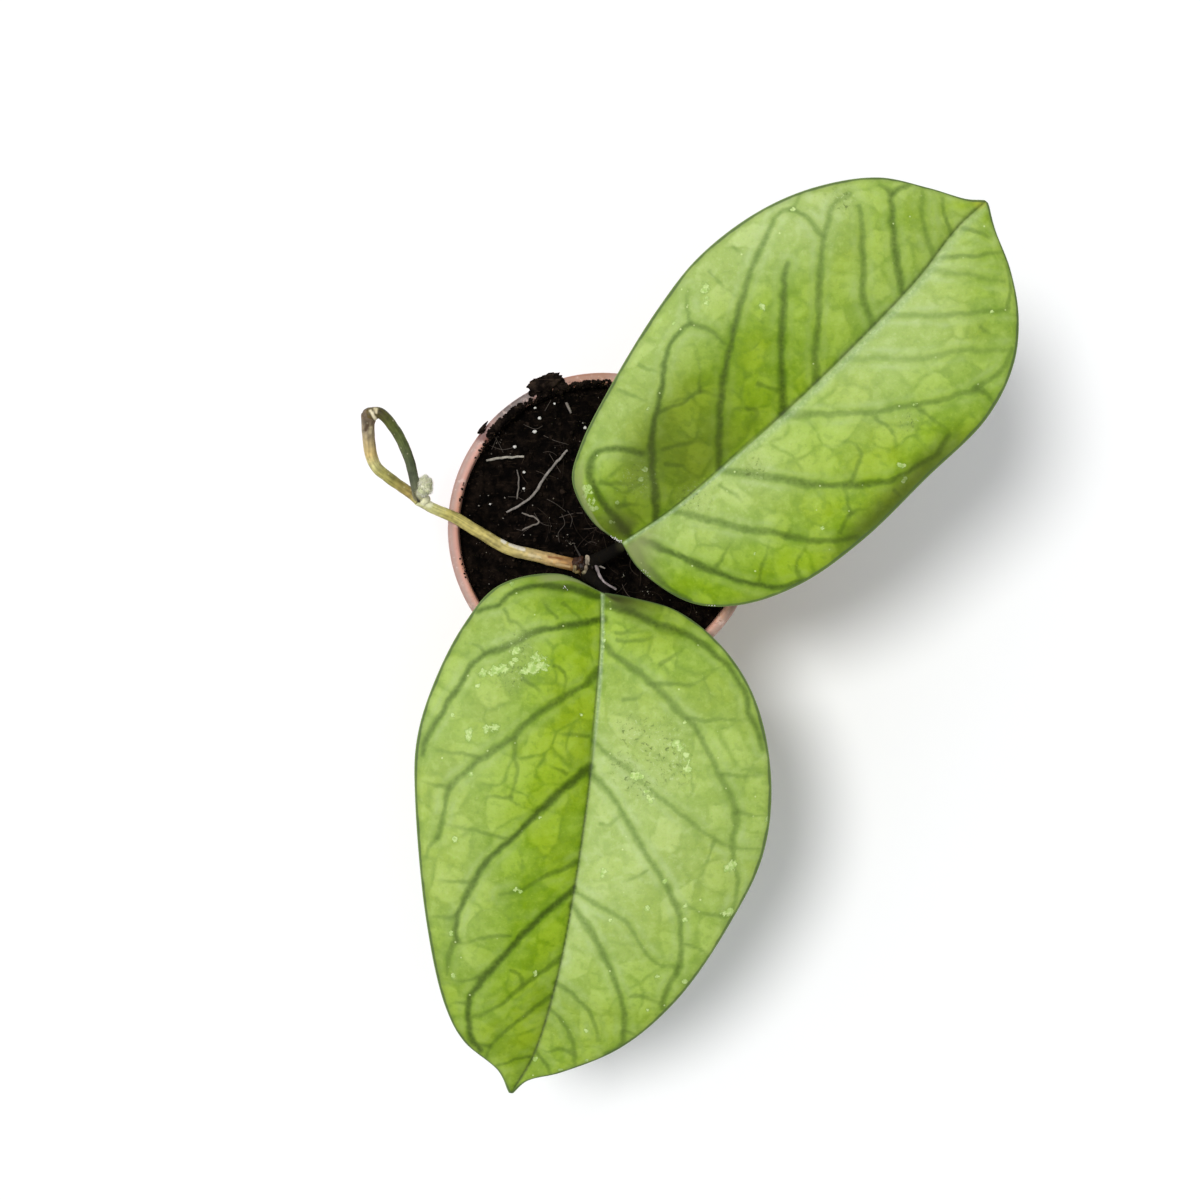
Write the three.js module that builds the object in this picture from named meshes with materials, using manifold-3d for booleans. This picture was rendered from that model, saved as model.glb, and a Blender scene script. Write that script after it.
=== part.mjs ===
// A young climbing plant in a small nursery pot: a rooted cutting with one pair of large fleshy leaves and one
// trailing shoot that curls back on itself.
// Millimetres, +Z up. The origin is the centre of the pot's underside, and the pot stands on z = 0.

import * as THREE from 'three';
import { mergeVertices } from 'three/addons/utils/BufferGeometryUtils.js';
import Module from 'manifold-3d';

const wasm = await Module();
wasm.setup();

// Driving dimensions
const CLEARANCE = 0.3;          // gap kept where two pieces touch
const POT_HEIGHT = 70;
const POT_RADIUS = 40;          // outside of the lip
const POT_WALL = 1.2;
const POT_SIDES = 48;
const FOOT_RADIUS = 27.6;       // outside of the pot's wall near the ground
const FOOT_RECESS = 1;          // how far the underside between foot and centre boss is lifted
const WALL_TOP_RADIUS = 36.4;   // outside of the wall just under the rim's band
const BAND_START = 59;          // height where the wall steps out to that band
const LIP_WIDTH = 2.2;          // flat top of the rim, seen from above
const EDGE_ROUND = 0.5;
const DRAIN_COUNT = 8;
const DRAIN_ORBIT = 14;         // radius of the circle that the drain slots stand on
const DRAIN_SLOT = [7, 2.6];    // length and width of a slot
const SOIL_TOP = 66;            // mean height of the soil's surface
const ROOT_DEPTH = 28;          // how deep the cutting's foot stands in the soil
const CROWN = [-4.6, -10.1, 67.4]; // the swollen node at the soil, where the shoot and both leaves start
const LEAF_STEPS = 36;          // strips along a leaf
const HALF_STEPS = 10;          // strips from midrib to margin
const BLADE_MIDDLE = 1.3;       // blade thickness beside the midrib
const BLADE_MARGIN = 0.8;       // and at the margin
const KEEL_DEPTH = 1.5;         // how far the midrib stands out of the leaf's underside at its base
const KEEL_WIDTH = 2.2;         // half width of that keel
const PETIOLE_RADIUS = 1.9;     // the leaf's stalk at the crown
const PETIOLE_END_RADIUS = 1.1; // and where it has run out in the keel

// Colours read from the photograph
const TERRACOTTA = 0xd9a08f;
const PEAT = 0x1b1511;
const LEAF_GREEN = 0x8fb344;
const OLIVE_STEM = 0x9c9650;
const YOUNG_GREEN = 0xcdd6a4;
const DRY_ROOT = 0xb5aca2;
const PERLITE = 0xe4e2dc;

const plant = new THREE.Group();

function addPiece(name, geometry, color, roughness) {
  const mesh = new THREE.Mesh(geometry, new THREE.MeshStandardMaterial({ color, roughness, metalness: 0 }));
  mesh.name = name;
  plant.add(mesh);
}

// Only positions, shared vertices merged, and no triangle that has fallen to a line.
function welded(geometry) {
  const bare = new THREE.BufferGeometry();
  bare.setAttribute('position', geometry.getAttribute('position'));
  if (geometry.index) bare.setIndex(geometry.index);
  const merged = mergeVertices(bare, 1e-4);
  const kept = [];
  const index = merged.index.array;
  for (let i = 0; i < index.length; i += 3) {
    const [a, b, c] = [index[i], index[i + 1], index[i + 2]];
    if (a !== b && b !== c && c !== a) kept.push(a, b, c);
  }
  merged.setIndex(kept);
  return merged;
}

function toManifold(geometry) {
  const closed = welded(geometry);
  return new wasm.Manifold(new wasm.Mesh({
    numProp: 3,
    vertProperties: new Float32Array(closed.getAttribute('position').array),
    triVerts: new Uint32Array(closed.index.array),
  }));
}

function toGeometry(manifold) {
  const mesh = manifold.getMesh();
  const geometry = new THREE.BufferGeometry();
  geometry.setAttribute('position', new THREE.BufferAttribute(new Float32Array(mesh.vertProperties), 3));
  geometry.setIndex(new THREE.BufferAttribute(new Uint32Array(mesh.triVerts), 1));
  return geometry;
}

function joined(geometries) {
  return geometries.map(toManifold).reduce((whole, piece) => whole.add(piece));
}

// A profile of [radius, height] points, outer side first from the bottom up, turned about Z.
function turned(profile, sides) {
  const points = profile.map(([radius, height]) => new THREE.Vector2(radius, height));
  return new THREE.LatheGeometry(points, sides).rotateX(Math.PI / 2);
}

function smoothCurve(points) {
  return new THREE.CatmullRomCurve3(points.map((point) => new THREE.Vector3(...point)), false, 'centripetal');
}

// A closed round bar along a curve; radiusAt gives its radius from 0 at the start to 1 at the end.
function sweptBar(curve, radiusAt, steps, sides) {
  const frames = curve.computeFrenetFrames(steps, false);
  const positions = [];
  const index = [];
  for (let i = 0; i <= steps; i += 1) {
    const centre = curve.getPointAt(i / steps);
    for (let j = 0; j < sides; j += 1) {
      const angle = (2 * Math.PI * j) / sides;
      const point = centre.clone()
        .addScaledVector(frames.normals[i], radiusAt(i / steps) * Math.cos(angle))
        .addScaledVector(frames.binormals[i], radiusAt(i / steps) * Math.sin(angle));
      positions.push(point.x, point.y, point.z);
    }
  }
  for (const end of [0, 1]) {
    const dome = curve.getTangentAt(end).multiplyScalar((end ? 0.5 : -0.5) * radiusAt(end));
    const tip = curve.getPointAt(end).add(dome);
    positions.push(tip.x, tip.y, tip.z);
  }
  const foot = (steps + 1) * sides;
  for (let j = 0; j < sides; j += 1) {
    const next = (j + 1) % sides;
    for (let i = 0; i < steps; i += 1) {
      const [a, b, c, d] = [i * sides + j, i * sides + next, (i + 1) * sides + next, (i + 1) * sides + j];
      index.push(a, b, c, a, c, d);
    }
    index.push(foot, next, j, foot + 1, steps * sides + j, steps * sides + next);
  }
  const geometry = new THREE.BufferGeometry();
  geometry.setAttribute('position', new THREE.Float32BufferAttribute(positions, 3));
  geometry.setIndex(index);
  return geometry;
}

// A round lump, as wide, deep and high as its three radii.
function knot(centre, radii, detail = 1) {
  return new THREE.IcosahedronGeometry(1, detail).scale(...radii).translate(...centre);
}

// The pot: thin moulded wall, a stepped band under the lip, and drain slots in a shallow recess of its floor.
const FLOOR_TOP = FOOT_RECESS + 1.4;
const BAND_RADIUS = POT_RADIUS - 1.6;
const BAND_INSIDE = BAND_RADIUS - POT_WALL;
const LIP_INSIDE = POT_RADIUS - LIP_WIDTH;
const LIP_DEPTH = 2;            // how far down the thicker lip reaches

function potProfile() {
  return [
    [0, 0],
    [5.4, 0],
    [6, FOOT_RECESS],
    [FOOT_RADIUS - 5.2, FOOT_RECESS],
    [FOOT_RADIUS - 4.6, 0],
    [FOOT_RADIUS - 1, 0],
    [FOOT_RADIUS, 1],
    [WALL_TOP_RADIUS, BAND_START],
    [BAND_RADIUS, BAND_START + 1],
    [POT_RADIUS - EDGE_ROUND, POT_HEIGHT - LIP_DEPTH - EDGE_ROUND],
    [POT_RADIUS, POT_HEIGHT - LIP_DEPTH],
    [POT_RADIUS, POT_HEIGHT - EDGE_ROUND],
    [POT_RADIUS - EDGE_ROUND, POT_HEIGHT],
    [LIP_INSIDE + EDGE_ROUND, POT_HEIGHT],
    [LIP_INSIDE, POT_HEIGHT - EDGE_ROUND],
    [LIP_INSIDE, POT_HEIGHT - LIP_DEPTH],
    [BAND_INSIDE, BAND_START + 2],
    [WALL_TOP_RADIUS - POT_WALL, BAND_START + 0.6],
    [FOOT_RADIUS - POT_WALL, FLOOR_TOP + 1],
    [FOOT_RADIUS - POT_WALL - 1, FLOOR_TOP],
    [0, FLOOR_TOP],
  ];
}

function drainSlot(number) {
  const slot = new THREE.BoxGeometry(...DRAIN_SLOT, 2 * POT_WALL + FLOOR_TOP + FOOT_RECESS);
  const angle = (2 * Math.PI * (number + 0.5)) / DRAIN_COUNT;
  return slot.translate(DRAIN_ORBIT, 0, FLOOR_TOP).rotateZ(angle);
}

let pot = toManifold(turned(potProfile(), POT_SIDES));
for (let i = 0; i < DRAIN_COUNT; i += 1) pot = pot.subtract(toManifold(drainSlot(i)));
addPiece('pot', toGeometry(pot), TERRACOTTA, 0.55);

// The soil: a plug that fills the pot, its surface uneven by a sum of waves and heaped a little at the upper left.
function soilHeight(x, y) {
  const waves = 0.55 * Math.sin(0.31 * x + 0.17 * y + 0.6) * Math.cos(0.23 * y - 0.4)
    + 0.35 * Math.sin(0.62 * x - 0.47 * y) + 0.2 * Math.sin(0.9 * y + 0.8 * x + 2);
  const heap = 1.6 * Math.exp(-((x + 17) ** 2 + (y - 30) ** 2) / 90);
  return SOIL_TOP + waves + heap;
}

const SOIL_RINGS = [0, 4, 8, 12, 16, 20, 24, 28, 31.5, 34.5, 36.6];  // radii of the rings that carry the relief
const SOIL_EDGE = LIP_INSIDE - CLEARANCE - 0.25;

function soilPlug() {
  const profile = [
    [0, FLOOR_TOP + CLEARANCE],
    [FOOT_RADIUS - POT_WALL - 1.5, FLOOR_TOP + CLEARANCE],
    [WALL_TOP_RADIUS - POT_WALL - CLEARANCE - 0.2, BAND_START + 0.4],
    [BAND_INSIDE - 0.4, BAND_START + 2.2],
    [SOIL_EDGE, SOIL_TOP - 2.5],
    ...SOIL_RINGS.toReversed().map((radius) => [radius, SOIL_TOP]),
  ];
  const plug = welded(turned(profile, POT_SIDES));
  const position = plug.getAttribute('position');
  for (let i = 0; i < position.count; i += 1) {
    if (position.getZ(i) > SOIL_TOP - 0.01) position.setZ(i, soilHeight(position.getX(i), position.getY(i)));
  }
  return plug;
}

// The vine: a foot in the soil, the crown, and the shoot in three runs with a swollen node at each bend.
const ELBOW = [-46.9, 7.2, 76];
const FAR_NODE = [-58.5, 27.7, 87];
const SHOOT_RUNS = [
  {
    points: [CROWN, [-10, -8.9, 68.2], [-17.2, -7.1, 69.3], [-24.4, -5.3, 70.4], [-32.5, -0.7, 71.9],
      [-37.8, 2.5, 72.7], [-44.2, 5.3, 74.6], ELBOW],
    radii: [1.6, 1.75],
    steps: 24,
  },
  {
    points: [ELBOW, [-54.6, 12.7, 77.6], [-57.4, 15.2, 79], [-58.6, 18.1, 81], [-58.9, 25.4, 85.6], FAR_NODE],
    radii: [1.6, 1.75],
    steps: 18,
  },
  {
    points: [FAR_NODE, [-55.8, 28.2, 87.6], [-51.9, 23.8, 86.2], [-48.9, 17.2, 83.4], [-47.5, 10.8, 80.9]],
    radii: [1.4, 1.2],
    steps: 16,
  },
];
const SWELLINGS = [[CROWN, 2.4], [ELBOW, 2.1], [FAR_NODE, 2.1]];
const ROOTLETS = [
  [[-2.6, -10, 68], [-0.6, -12.8, 68.1], [1.2, -14.4, 67.8], [3.4, -16.1, 67.6]],
  [[-4.6, -9.4, 68.4], [-6.2, -6.6, 68.2], [-7.4, -4.4, 67.9]],
];

function taper([start, end]) {
  return (t) => start + (end - start) * t;
}

// All of the vine's bars and knots; grown widens each by that much.
function vineBars(grown = 0) {
  const foot = smoothCurve([[-3.6, -10.6, SOIL_TOP - ROOT_DEPTH], [-3.9, -10.5, SOIL_TOP - 10], CROWN]);
  const bars = [sweptBar(foot, () => 2 + grown, 8, 10)];
  for (const run of SHOOT_RUNS) {
    const radiusAt = taper(run.radii);
    bars.push(sweptBar(smoothCurve(run.points), (t) => radiusAt(t) + grown, run.steps, 10));
  }
  for (const points of ROOTLETS) bars.push(sweptBar(smoothCurve(points), () => 0.45 + grown, 5, 6));
  for (const [centre, radius] of SWELLINGS) bars.push(knot(centre, Array(3).fill(radius + grown), 2));
  return joined(bars);
}

const vineSpace = vineBars(CLEARANCE);
const soil = toManifold(soilPlug());
addPiece('soil', toGeometry(soil.subtract(vineSpace)), PEAT, 0.95);
addPiece('vine', toGeometry(vineBars()), OLIVE_STEM, 0.6);

// A leaf is drawn in its own frame: along its axis from base to tip, and across it, positive to the left.
// Its outline is two smooth curves from base to tip, and the midrib a third between them.
const LEAVES = {
  leaf_upper: {
    base: [4.8, -4.3, 79],
    heading: 43.1,
    rise: [28, -5],
    foot: [-2.9, -9, 68.2],
    midrib: [[0, 0], [17, -2.9], [43, -3.8], [68, -3.8], [95, -2.4], [111, 0.1], [120.7, 0]],
    left: [[0, 0], [-1.6, 9], [1.6, 19.8], [9, 24.7], [22.3, 29.4], [45.8, 35.6], [60.8, 37.6], [78.5, 35.4],
      [93.1, 30], [105.1, 21.7], [112.3, 11.6], [117.5, 3.2], [120.7, 0]],
    right: [[0, 0], [-1.2, -7.9], [2.5, -22.4], [11.2, -31.2], [25.3, -37.3], [42.9, -39.4], [64.1, -38.8],
      [84.2, -38], [97.6, -33], [106.9, -25.2], [113.3, -15.6], [117.3, -6.1], [120.7, 0]],
    waves: [0.9, 3.2, 0.4],
  },
  leaf_lower: {
    base: [-0.3, -16.5, 75],
    heading: -100.3,
    rise: [17, -23],
    foot: [-3.9, -11.8, 68.2],
    midrib: [[0, 0], [15, 2.6], [45, 5.3], [75, 6.5], [100, 6.2], [120, 3.9], [131.7, 0]],
    left: [[0, 0], [0, 8.5], [1.2, 19.1], [6.9, 30.4], [15.5, 39.5], [27, 46.1], [43.9, 50.8], [59.1, 51],
      [75.4, 46.4], [98.3, 36.6], [113.5, 25.2], [123.2, 11.4], [127.4, 3], [131.7, 0]],
    right: [[0, 0], [-2.6, -11.3], [3.1, -25.8], [15.2, -32.9], [33.2, -37.7], [46, -38.6], [59.7, -36.4],
      [88, -28.9], [110.9, -20], [119.4, -13.9], [126.1, -3.7], [131.7, 0]],
    waves: [0.8, 2.7, 1.9],
  },
};
const slope = (degrees) => Math.tan(THREE.MathUtils.degToRad(degrees));
const FOLD_AT_MIDRIB = slope(20);  // how steeply each half rises beside the midrib
const FALL_AT_MARGIN = slope(15);  // and how steeply it falls at the margin

// Height of the midrib at a share t of the leaf's length: a slope that turns evenly from the first angle to the last.
function midribRise(leaf, t) {
  const [start, end] = leaf.rise.map(slope);
  const length = leaf.midrib.at(-1)[0];
  return length * (start * t - ((start - end) / 2) * t * t);
}

function planCurve(points) {
  return smoothCurve(points.map(([along, across]) => [along, across, 0]));
}

// Point of the upper face at u from base to tip and q from the right margin (-1) over the midrib (0) to the left (1).
function leafSurface(leaf) {
  const curves = { midrib: planCurve(leaf.midrib), left: planCurve(leaf.left), right: planCurve(leaf.right) };
  const length = leaf.midrib.at(-1)[0];
  const [amplitude, count, phase] = leaf.waves;
  return (u, q) => {
    const spine = curves.midrib.getPointAt(u);
    const margin = (q > 0 ? curves.left : curves.right).getPointAt(u);
    const share = Math.abs(q);
    const halfWidth = spine.distanceTo(margin);
    const point = spine.clone().lerp(margin, share);
    const fold = halfWidth * (FOLD_AT_MIDRIB * share - ((FOLD_AT_MIDRIB + FALL_AT_MARGIN) / 2) * share * share);
    const wave = amplitude * share * share * Math.sin(2 * Math.PI * count * u + phase + Math.sign(q));
    point.z = midribRise(leaf, point.x / length) + fold + wave * Math.sin(Math.PI * u);
    return point;
  };
}

// Thickness of the blade: thinner towards the margin, with the midrib's keel, which fades towards the tip.
function bladeThickness(u, q, fromMidrib) {
  const blade = BLADE_MIDDLE + (BLADE_MARGIN - BLADE_MIDDLE) * q * q;
  return blade + KEEL_DEPTH * (1 - 0.8 * u) * Math.exp(-((fromMidrib / KEEL_WIDTH) ** 2));
}

// Rows run from the base pole to the tip pole; upper and lower face share one pattern of triangles.
function bladeSolid(leaf) {
  const surface = leafSurface(leaf);
  const columns = 2 * HALF_STEPS + 1;
  const faceSize = (LEAF_STEPS - 1) * columns + 2;
  const upper = [];
  const lower = [];
  const addPoint = (u, q) => {
    const top = surface(u, q);
    upper.push(top);
    lower.push(top.clone().setZ(top.z - bladeThickness(u, q, top.distanceTo(surface(u, 0)))));
  };
  addPoint(0, 0);
  for (let i = 1; i < LEAF_STEPS; i += 1) {
    for (let j = 0; j < columns; j += 1) addPoint(i / LEAF_STEPS, (j - HALF_STEPS) / HALF_STEPS);
  }
  addPoint(1, 0);

  const at = (i, j) => {
    if (i === 0) return 0;
    return i === LEAF_STEPS ? faceSize - 1 : 1 + (i - 1) * columns + j;
  };
  const index = [];
  const addBoth = (a, b, c) => index.push(a, b, c, faceSize + a, faceSize + c, faceSize + b);
  for (let i = 0; i < LEAF_STEPS; i += 1) {
    for (let j = 0; j < columns - 1; j += 1) {
      const [a, b, c, d] = [at(i, j), at(i + 1, j), at(i + 1, j + 1), at(i, j + 1)];
      if (i < LEAF_STEPS - 1) addBoth(a, b, c);
      if (i > 0) addBoth(a, c, d);
    }
    const rim = [[at(i, 0), at(i + 1, 0)], [at(i + 1, columns - 1), at(i, columns - 1)]];
    for (const [a, b] of rim) index.push(a, faceSize + a, faceSize + b, a, faceSize + b, b);
  }
  const geometry = new THREE.BufferGeometry();
  const positions = [...upper, ...lower].flatMap((point) => [point.x, point.y, point.z]);
  geometry.setAttribute('position', new THREE.Float32BufferAttribute(positions, 3));
  geometry.setIndex(index);
  return geometry.rotateZ(THREE.MathUtils.degToRad(leaf.heading)).translate(...leaf.base);
}

// The leaf's stalk runs from the crown to the base and on a little way inside the keel.
const STALK_BELOW_FACE = 1.7;
const STALK_IN_KEEL = 7;

function petiole(leaf) {
  const turn = THREE.MathUtils.degToRad(leaf.heading);
  const length = leaf.midrib.at(-1)[0];
  const underFace = (along, across) => new THREE.Vector3(along, across, midribRise(leaf, along / length))
    .applyAxisAngle(new THREE.Vector3(0, 0, 1), turn)
    .add(new THREE.Vector3(...leaf.base).setZ(leaf.base[2] - STALK_BELOW_FACE));
  const [inStep, inSpan] = leaf.midrib[1];
  const start = new THREE.Vector3(...leaf.foot);
  const atBase = underFace(-1.5, 0);
  const arch = start.clone().lerp(atBase, 0.5).setZ((start.z + atBase.z) / 2 + 1);
  const inKeel = underFace(STALK_IN_KEEL, (STALK_IN_KEEL * inSpan) / inStep);
  const curve = smoothCurve([start, arch, atBase, inKeel]);
  return sweptBar(curve, taper([PETIOLE_RADIUS, PETIOLE_END_RADIUS]), 12, 10);
}

for (const [name, leaf] of Object.entries(LEAVES)) {
  const whole = joined([bladeSolid(leaf), petiole(leaf)]);
  addPiece(name, toGeometry(whole.subtract(vineSpace)), LEAF_GREEN, 0.45);
}

// The shoot's growing tip: small pale scales at the end of the green section, lying over the elbow.
const TIP_SCALES = [
  [[-45, 11, 80.9], [1.6, 1.9, 1.3]],
  [[-44.8, 8.8, 80.5], [1.6, 1.9, 1.2]],
  [[-45.2, 6.6, 80], [1.2, 1.7, 1]],
];
addPiece('growing_tip', toGeometry(joined(TIP_SCALES.map(([centre, radii]) => knot(centre, radii, 2)))
  .subtract(vineSpace)), YOUNG_GREEN, 0.8);

// Loose bits on the soil: dry root ends, perlite grains, and two lumps of peat on the lip.
const DRY_ROOTS = [
  { radius: 0.45, route: [[-30.2, 17.6], [-25.4, 18.2], [-20.4, 18.5]] },
  { radius: 0.5, route: [[-24.9, 4.2], [-21.4, 6], [-18, 8.7], [-14.9, 13.5], [-9.2, 20.2]] },
  { radius: 0.35, route: [[-22.3, 15.1], [-21.8, 12.5], [-22, 9.1], [-22.3, 7.6]] },
  { radius: 0.35, route: [[-21, 4.2], [-16.6, 1.8], [-20.8, -0.6]] },
  { radius: 0.45, route: [[-9.6, 32.4], [-8.2, 29.7]] },
];
const PERLITE_PLACES = [[-16.3, 28.3], [-17.6, 24.9], [-22.8, 21.1], [-20.4, 14.5], [-20.5, 10.3], [-29.2, 6.3],
  [-12.5, 32.1], [-4.6, 25.9], [-17.5, 31]];
const PERLITE_RADIUS = 0.6;
const LIP_LUMPS = [
  { centre: [-30.2, 24.6], radii: [2, 1.8, 1.1] },
  { centre: [-13.6, 36.9], radii: [4, 2, 1.3] },
];

// The highest soil within reach of a point, so that a round bit lies on the surface and not in it.
function soilUnder(x, y, reach) {
  let highest = soilHeight(x, y);
  for (let angle = 0; angle < 2 * Math.PI; angle += Math.PI / 4) {
    highest = Math.max(highest, soilHeight(x + reach * Math.cos(angle), y + reach * Math.sin(angle)));
  }
  return highest;
}

DRY_ROOTS.forEach(({ radius, route }, number) => {
  const line = smoothCurve(route.map(([x, y]) => [x, y, 0]));
  const laid = line.getSpacedPoints(12).map(({ x, y }) => [x, y, soilUnder(x, y, 2) + radius + CLEARANCE]);
  addPiece(`dry_root_${number + 1}`, sweptBar(smoothCurve(laid), () => radius, 14, 6), DRY_ROOT, 0.8);
});

PERLITE_PLACES.forEach(([x, y], number) => {
  const z = soilUnder(x, y, 2) + PERLITE_RADIUS + CLEARANCE;
  addPiece(`perlite_${number + 1}`, welded(knot([x, y, z], Array(3).fill(PERLITE_RADIUS), 0)), PERLITE, 0.9);
});

LIP_LUMPS.forEach(({ centre: [x, y], radii }, number) => {
  const lump = knot([0, 0, 0], radii).rotateZ(Math.atan2(-x, y)).translate(x, y, POT_HEIGHT + CLEARANCE + radii[2]);
  addPiece(`soil_lump_${number + 1}`, welded(lump), PEAT, 0.95);
});

export default plant;
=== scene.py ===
# %% [markdown]
# # A young climbing plant in a small nursery pot
#
# The plant is a rooted cutting: one pair of very large fleshy leaves with dark veins, and one bare shoot
# that trails over the rim and curls back on itself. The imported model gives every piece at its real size.
# Here each of them gets its fine surface and its finish: leaves first, then the shoot, the pot, the soil
# and what lies on it.

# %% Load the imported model
import math

import bpy
import numpy as np
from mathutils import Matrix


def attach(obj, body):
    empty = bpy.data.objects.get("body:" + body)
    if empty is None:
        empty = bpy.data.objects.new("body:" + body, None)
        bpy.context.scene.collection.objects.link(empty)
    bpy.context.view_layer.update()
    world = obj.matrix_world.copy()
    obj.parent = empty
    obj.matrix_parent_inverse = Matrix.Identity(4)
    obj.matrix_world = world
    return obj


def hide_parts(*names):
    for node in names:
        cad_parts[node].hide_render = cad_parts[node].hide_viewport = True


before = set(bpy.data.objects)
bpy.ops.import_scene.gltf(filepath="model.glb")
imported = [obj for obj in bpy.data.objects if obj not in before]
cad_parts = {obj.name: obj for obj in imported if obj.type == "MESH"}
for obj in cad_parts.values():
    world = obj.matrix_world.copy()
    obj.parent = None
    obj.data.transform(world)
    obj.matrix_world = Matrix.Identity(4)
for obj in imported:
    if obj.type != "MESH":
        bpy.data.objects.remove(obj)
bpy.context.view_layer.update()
MM = 0.001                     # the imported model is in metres, and the sizes below are in millimetres

# %% [markdown]
# ## Camera
#
# The photograph looks straight down from about 620 mm above the pot's rim. The rim is 80 mm across, which
# gives the focal length: 2412 pixels in a frame 1200 pixels wide, or 72.4 mm on a sensor 36 mm wide.

# %% Camera
SENSOR_WIDTH = 36
PHOTO_WIDTH = 1200             # pixels
FOCAL_PIXELS = 2412
CAMERA_PLACE = np.array([-0.8, -18.5, 690.0])

lens = bpy.data.cameras.new("camera")
lens.sensor_width = SENSOR_WIDTH
lens.lens = SENSOR_WIDTH * FOCAL_PIXELS / PHOTO_WIDTH
lens.clip_start = 0.01
camera = bpy.data.objects.new("camera", lens)
camera.location = CAMERA_PLACE * MM
bpy.context.scene.collection.objects.link(camera)
bpy.context.scene.camera = camera
print("lens in mm:", round(lens.lens, 2))

# %% [markdown]
# ## Colours and shader nodes
#
# Colours are written as sRGB hex values, as a paint program shows them. Shaders count in linear light, so one
# function turns them. One more function adds any shader node with its settings and links.

# %% Helpers for materials


def linear(hex_colour):
    """sRGB hex to linear red, green, blue, alpha: each channel c becomes ((c + 0.055) / 1.055) ** 2.4."""
    channels = np.array([int(hex_colour[i:i + 2], 16) for i in (1, 3, 5)]) / 255
    curved = ((channels + 0.055) / 1.055) ** 2.4
    return (*np.where(channels <= 0.04045, channels / 12.92, curved).tolist(), 1.0)


def add(tree, kind, inputs=None, **settings):
    """Adds a shader node. Settings are its own properties, inputs its sockets, each a value or an output
    socket."""
    node = tree.nodes.new(kind)
    for name, value in settings.items():
        setattr(node, name, value)
    for name, value in (inputs or {}).items():
        if isinstance(value, bpy.types.NodeSocket):
            tree.links.new(value, node.inputs[name])
        else:
            node.inputs[name].default_value = value
    return node


def new_material(name):
    """An empty material; gives back the material, its tree and the place on the object that its patterns
    read."""
    material = bpy.data.materials.new(name)
    material.use_nodes = True
    tree = material.node_tree
    tree.nodes.clear()
    return material, tree, add(tree, "ShaderNodeTexCoord").outputs["Object"]


def finished(material, sockets, relief=None, strength=0.0, depth=0.0):
    """Ends a material with one shader that has these sockets; relief, if given, is a bump depth mm deep."""
    tree = material.node_tree
    if relief is not None:
        bump = add(tree, "ShaderNodeBump", {"Height": relief, "Strength": strength, "Distance": depth * MM})
        sockets = {**sockets, "Normal": bump.outputs[0]}
    shader = add(tree, "ShaderNodeBsdfPrincipled", sockets)
    add(tree, "ShaderNodeOutputMaterial", {"Surface": shader.outputs[0]})
    return material


def mixed(tree, share, first, second):
    """The colour between first and second at that share; a colour is a hex value or an output socket."""
    ends = [linear(end) if isinstance(end, str) else end for end in (first, second)]
    node = add(tree, "ShaderNodeMix", {0: share, 6: ends[0], 7: ends[1]}, data_type="RGBA")
    return node.outputs[2]


def number(tree, operation, first, second=0.0, third=0.0):
    """One sum on numbers, such as MULTIPLY, ADD or SMOOTH_MIN."""
    return add(tree, "ShaderNodeMath", {0: first, 1: second, 2: third}, operation=operation).outputs[0]


def between(tree, value, low, high, start=0.0, end=1.0):
    """Goes smoothly from start to end while value goes from low to high."""
    sockets = {"Value": value, "From Min": low, "From Max": high, "To Min": start, "To Max": end}
    return add(tree, "ShaderNodeMapRange", sockets, interpolation_type="SMOOTHSTEP").outputs[0]


def stored(tree, name, kind="Fac"):
    """The number, or with kind Color the colour, that the mesh holds for each point under that name."""
    return add(tree, "ShaderNodeAttribute", attribute_name=name).outputs[kind]


def grain(tree, place, size, detail=3.0, roughness=0.5, distortion=0.0):
    """Noise from 0 to 1 whose lumps are about size mm wide."""
    sockets = {"Vector": place, "Scale": 1 / (size * MM), "Detail": detail, "Roughness": roughness,
               "Distortion": distortion}
    return add(tree, "ShaderNodeTexNoise", sockets).outputs["Fac"]


def specks(tree, place, size, share, inner, outer, strength):
    """Specks in that share of cells size mm apart: full strength inside inner, and none outside outer, both
    as shares of a cell."""
    cells = add(tree, "ShaderNodeTexVoronoi", {"Vector": place, "Scale": 1 / (size * MM)})
    drawn = add(tree, "ShaderNodeSeparateColor", {0: cells.outputs["Color"]}).outputs[0]
    inside = between(tree, cells.outputs["Distance"], inner, outer, strength, 0.0)
    return number(tree, "MULTIPLY", inside, number(tree, "LESS_THAN", drawn, share))


# %% [markdown]
# ## Shapes as arrays
#
# Every new surface is a grid of points worked out at once with numpy. A smooth line through given
# points, soft random hills, a tube along a line and the faces between a grid's rows are all that the pieces
# need.

# %% Helpers for shapes


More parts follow.
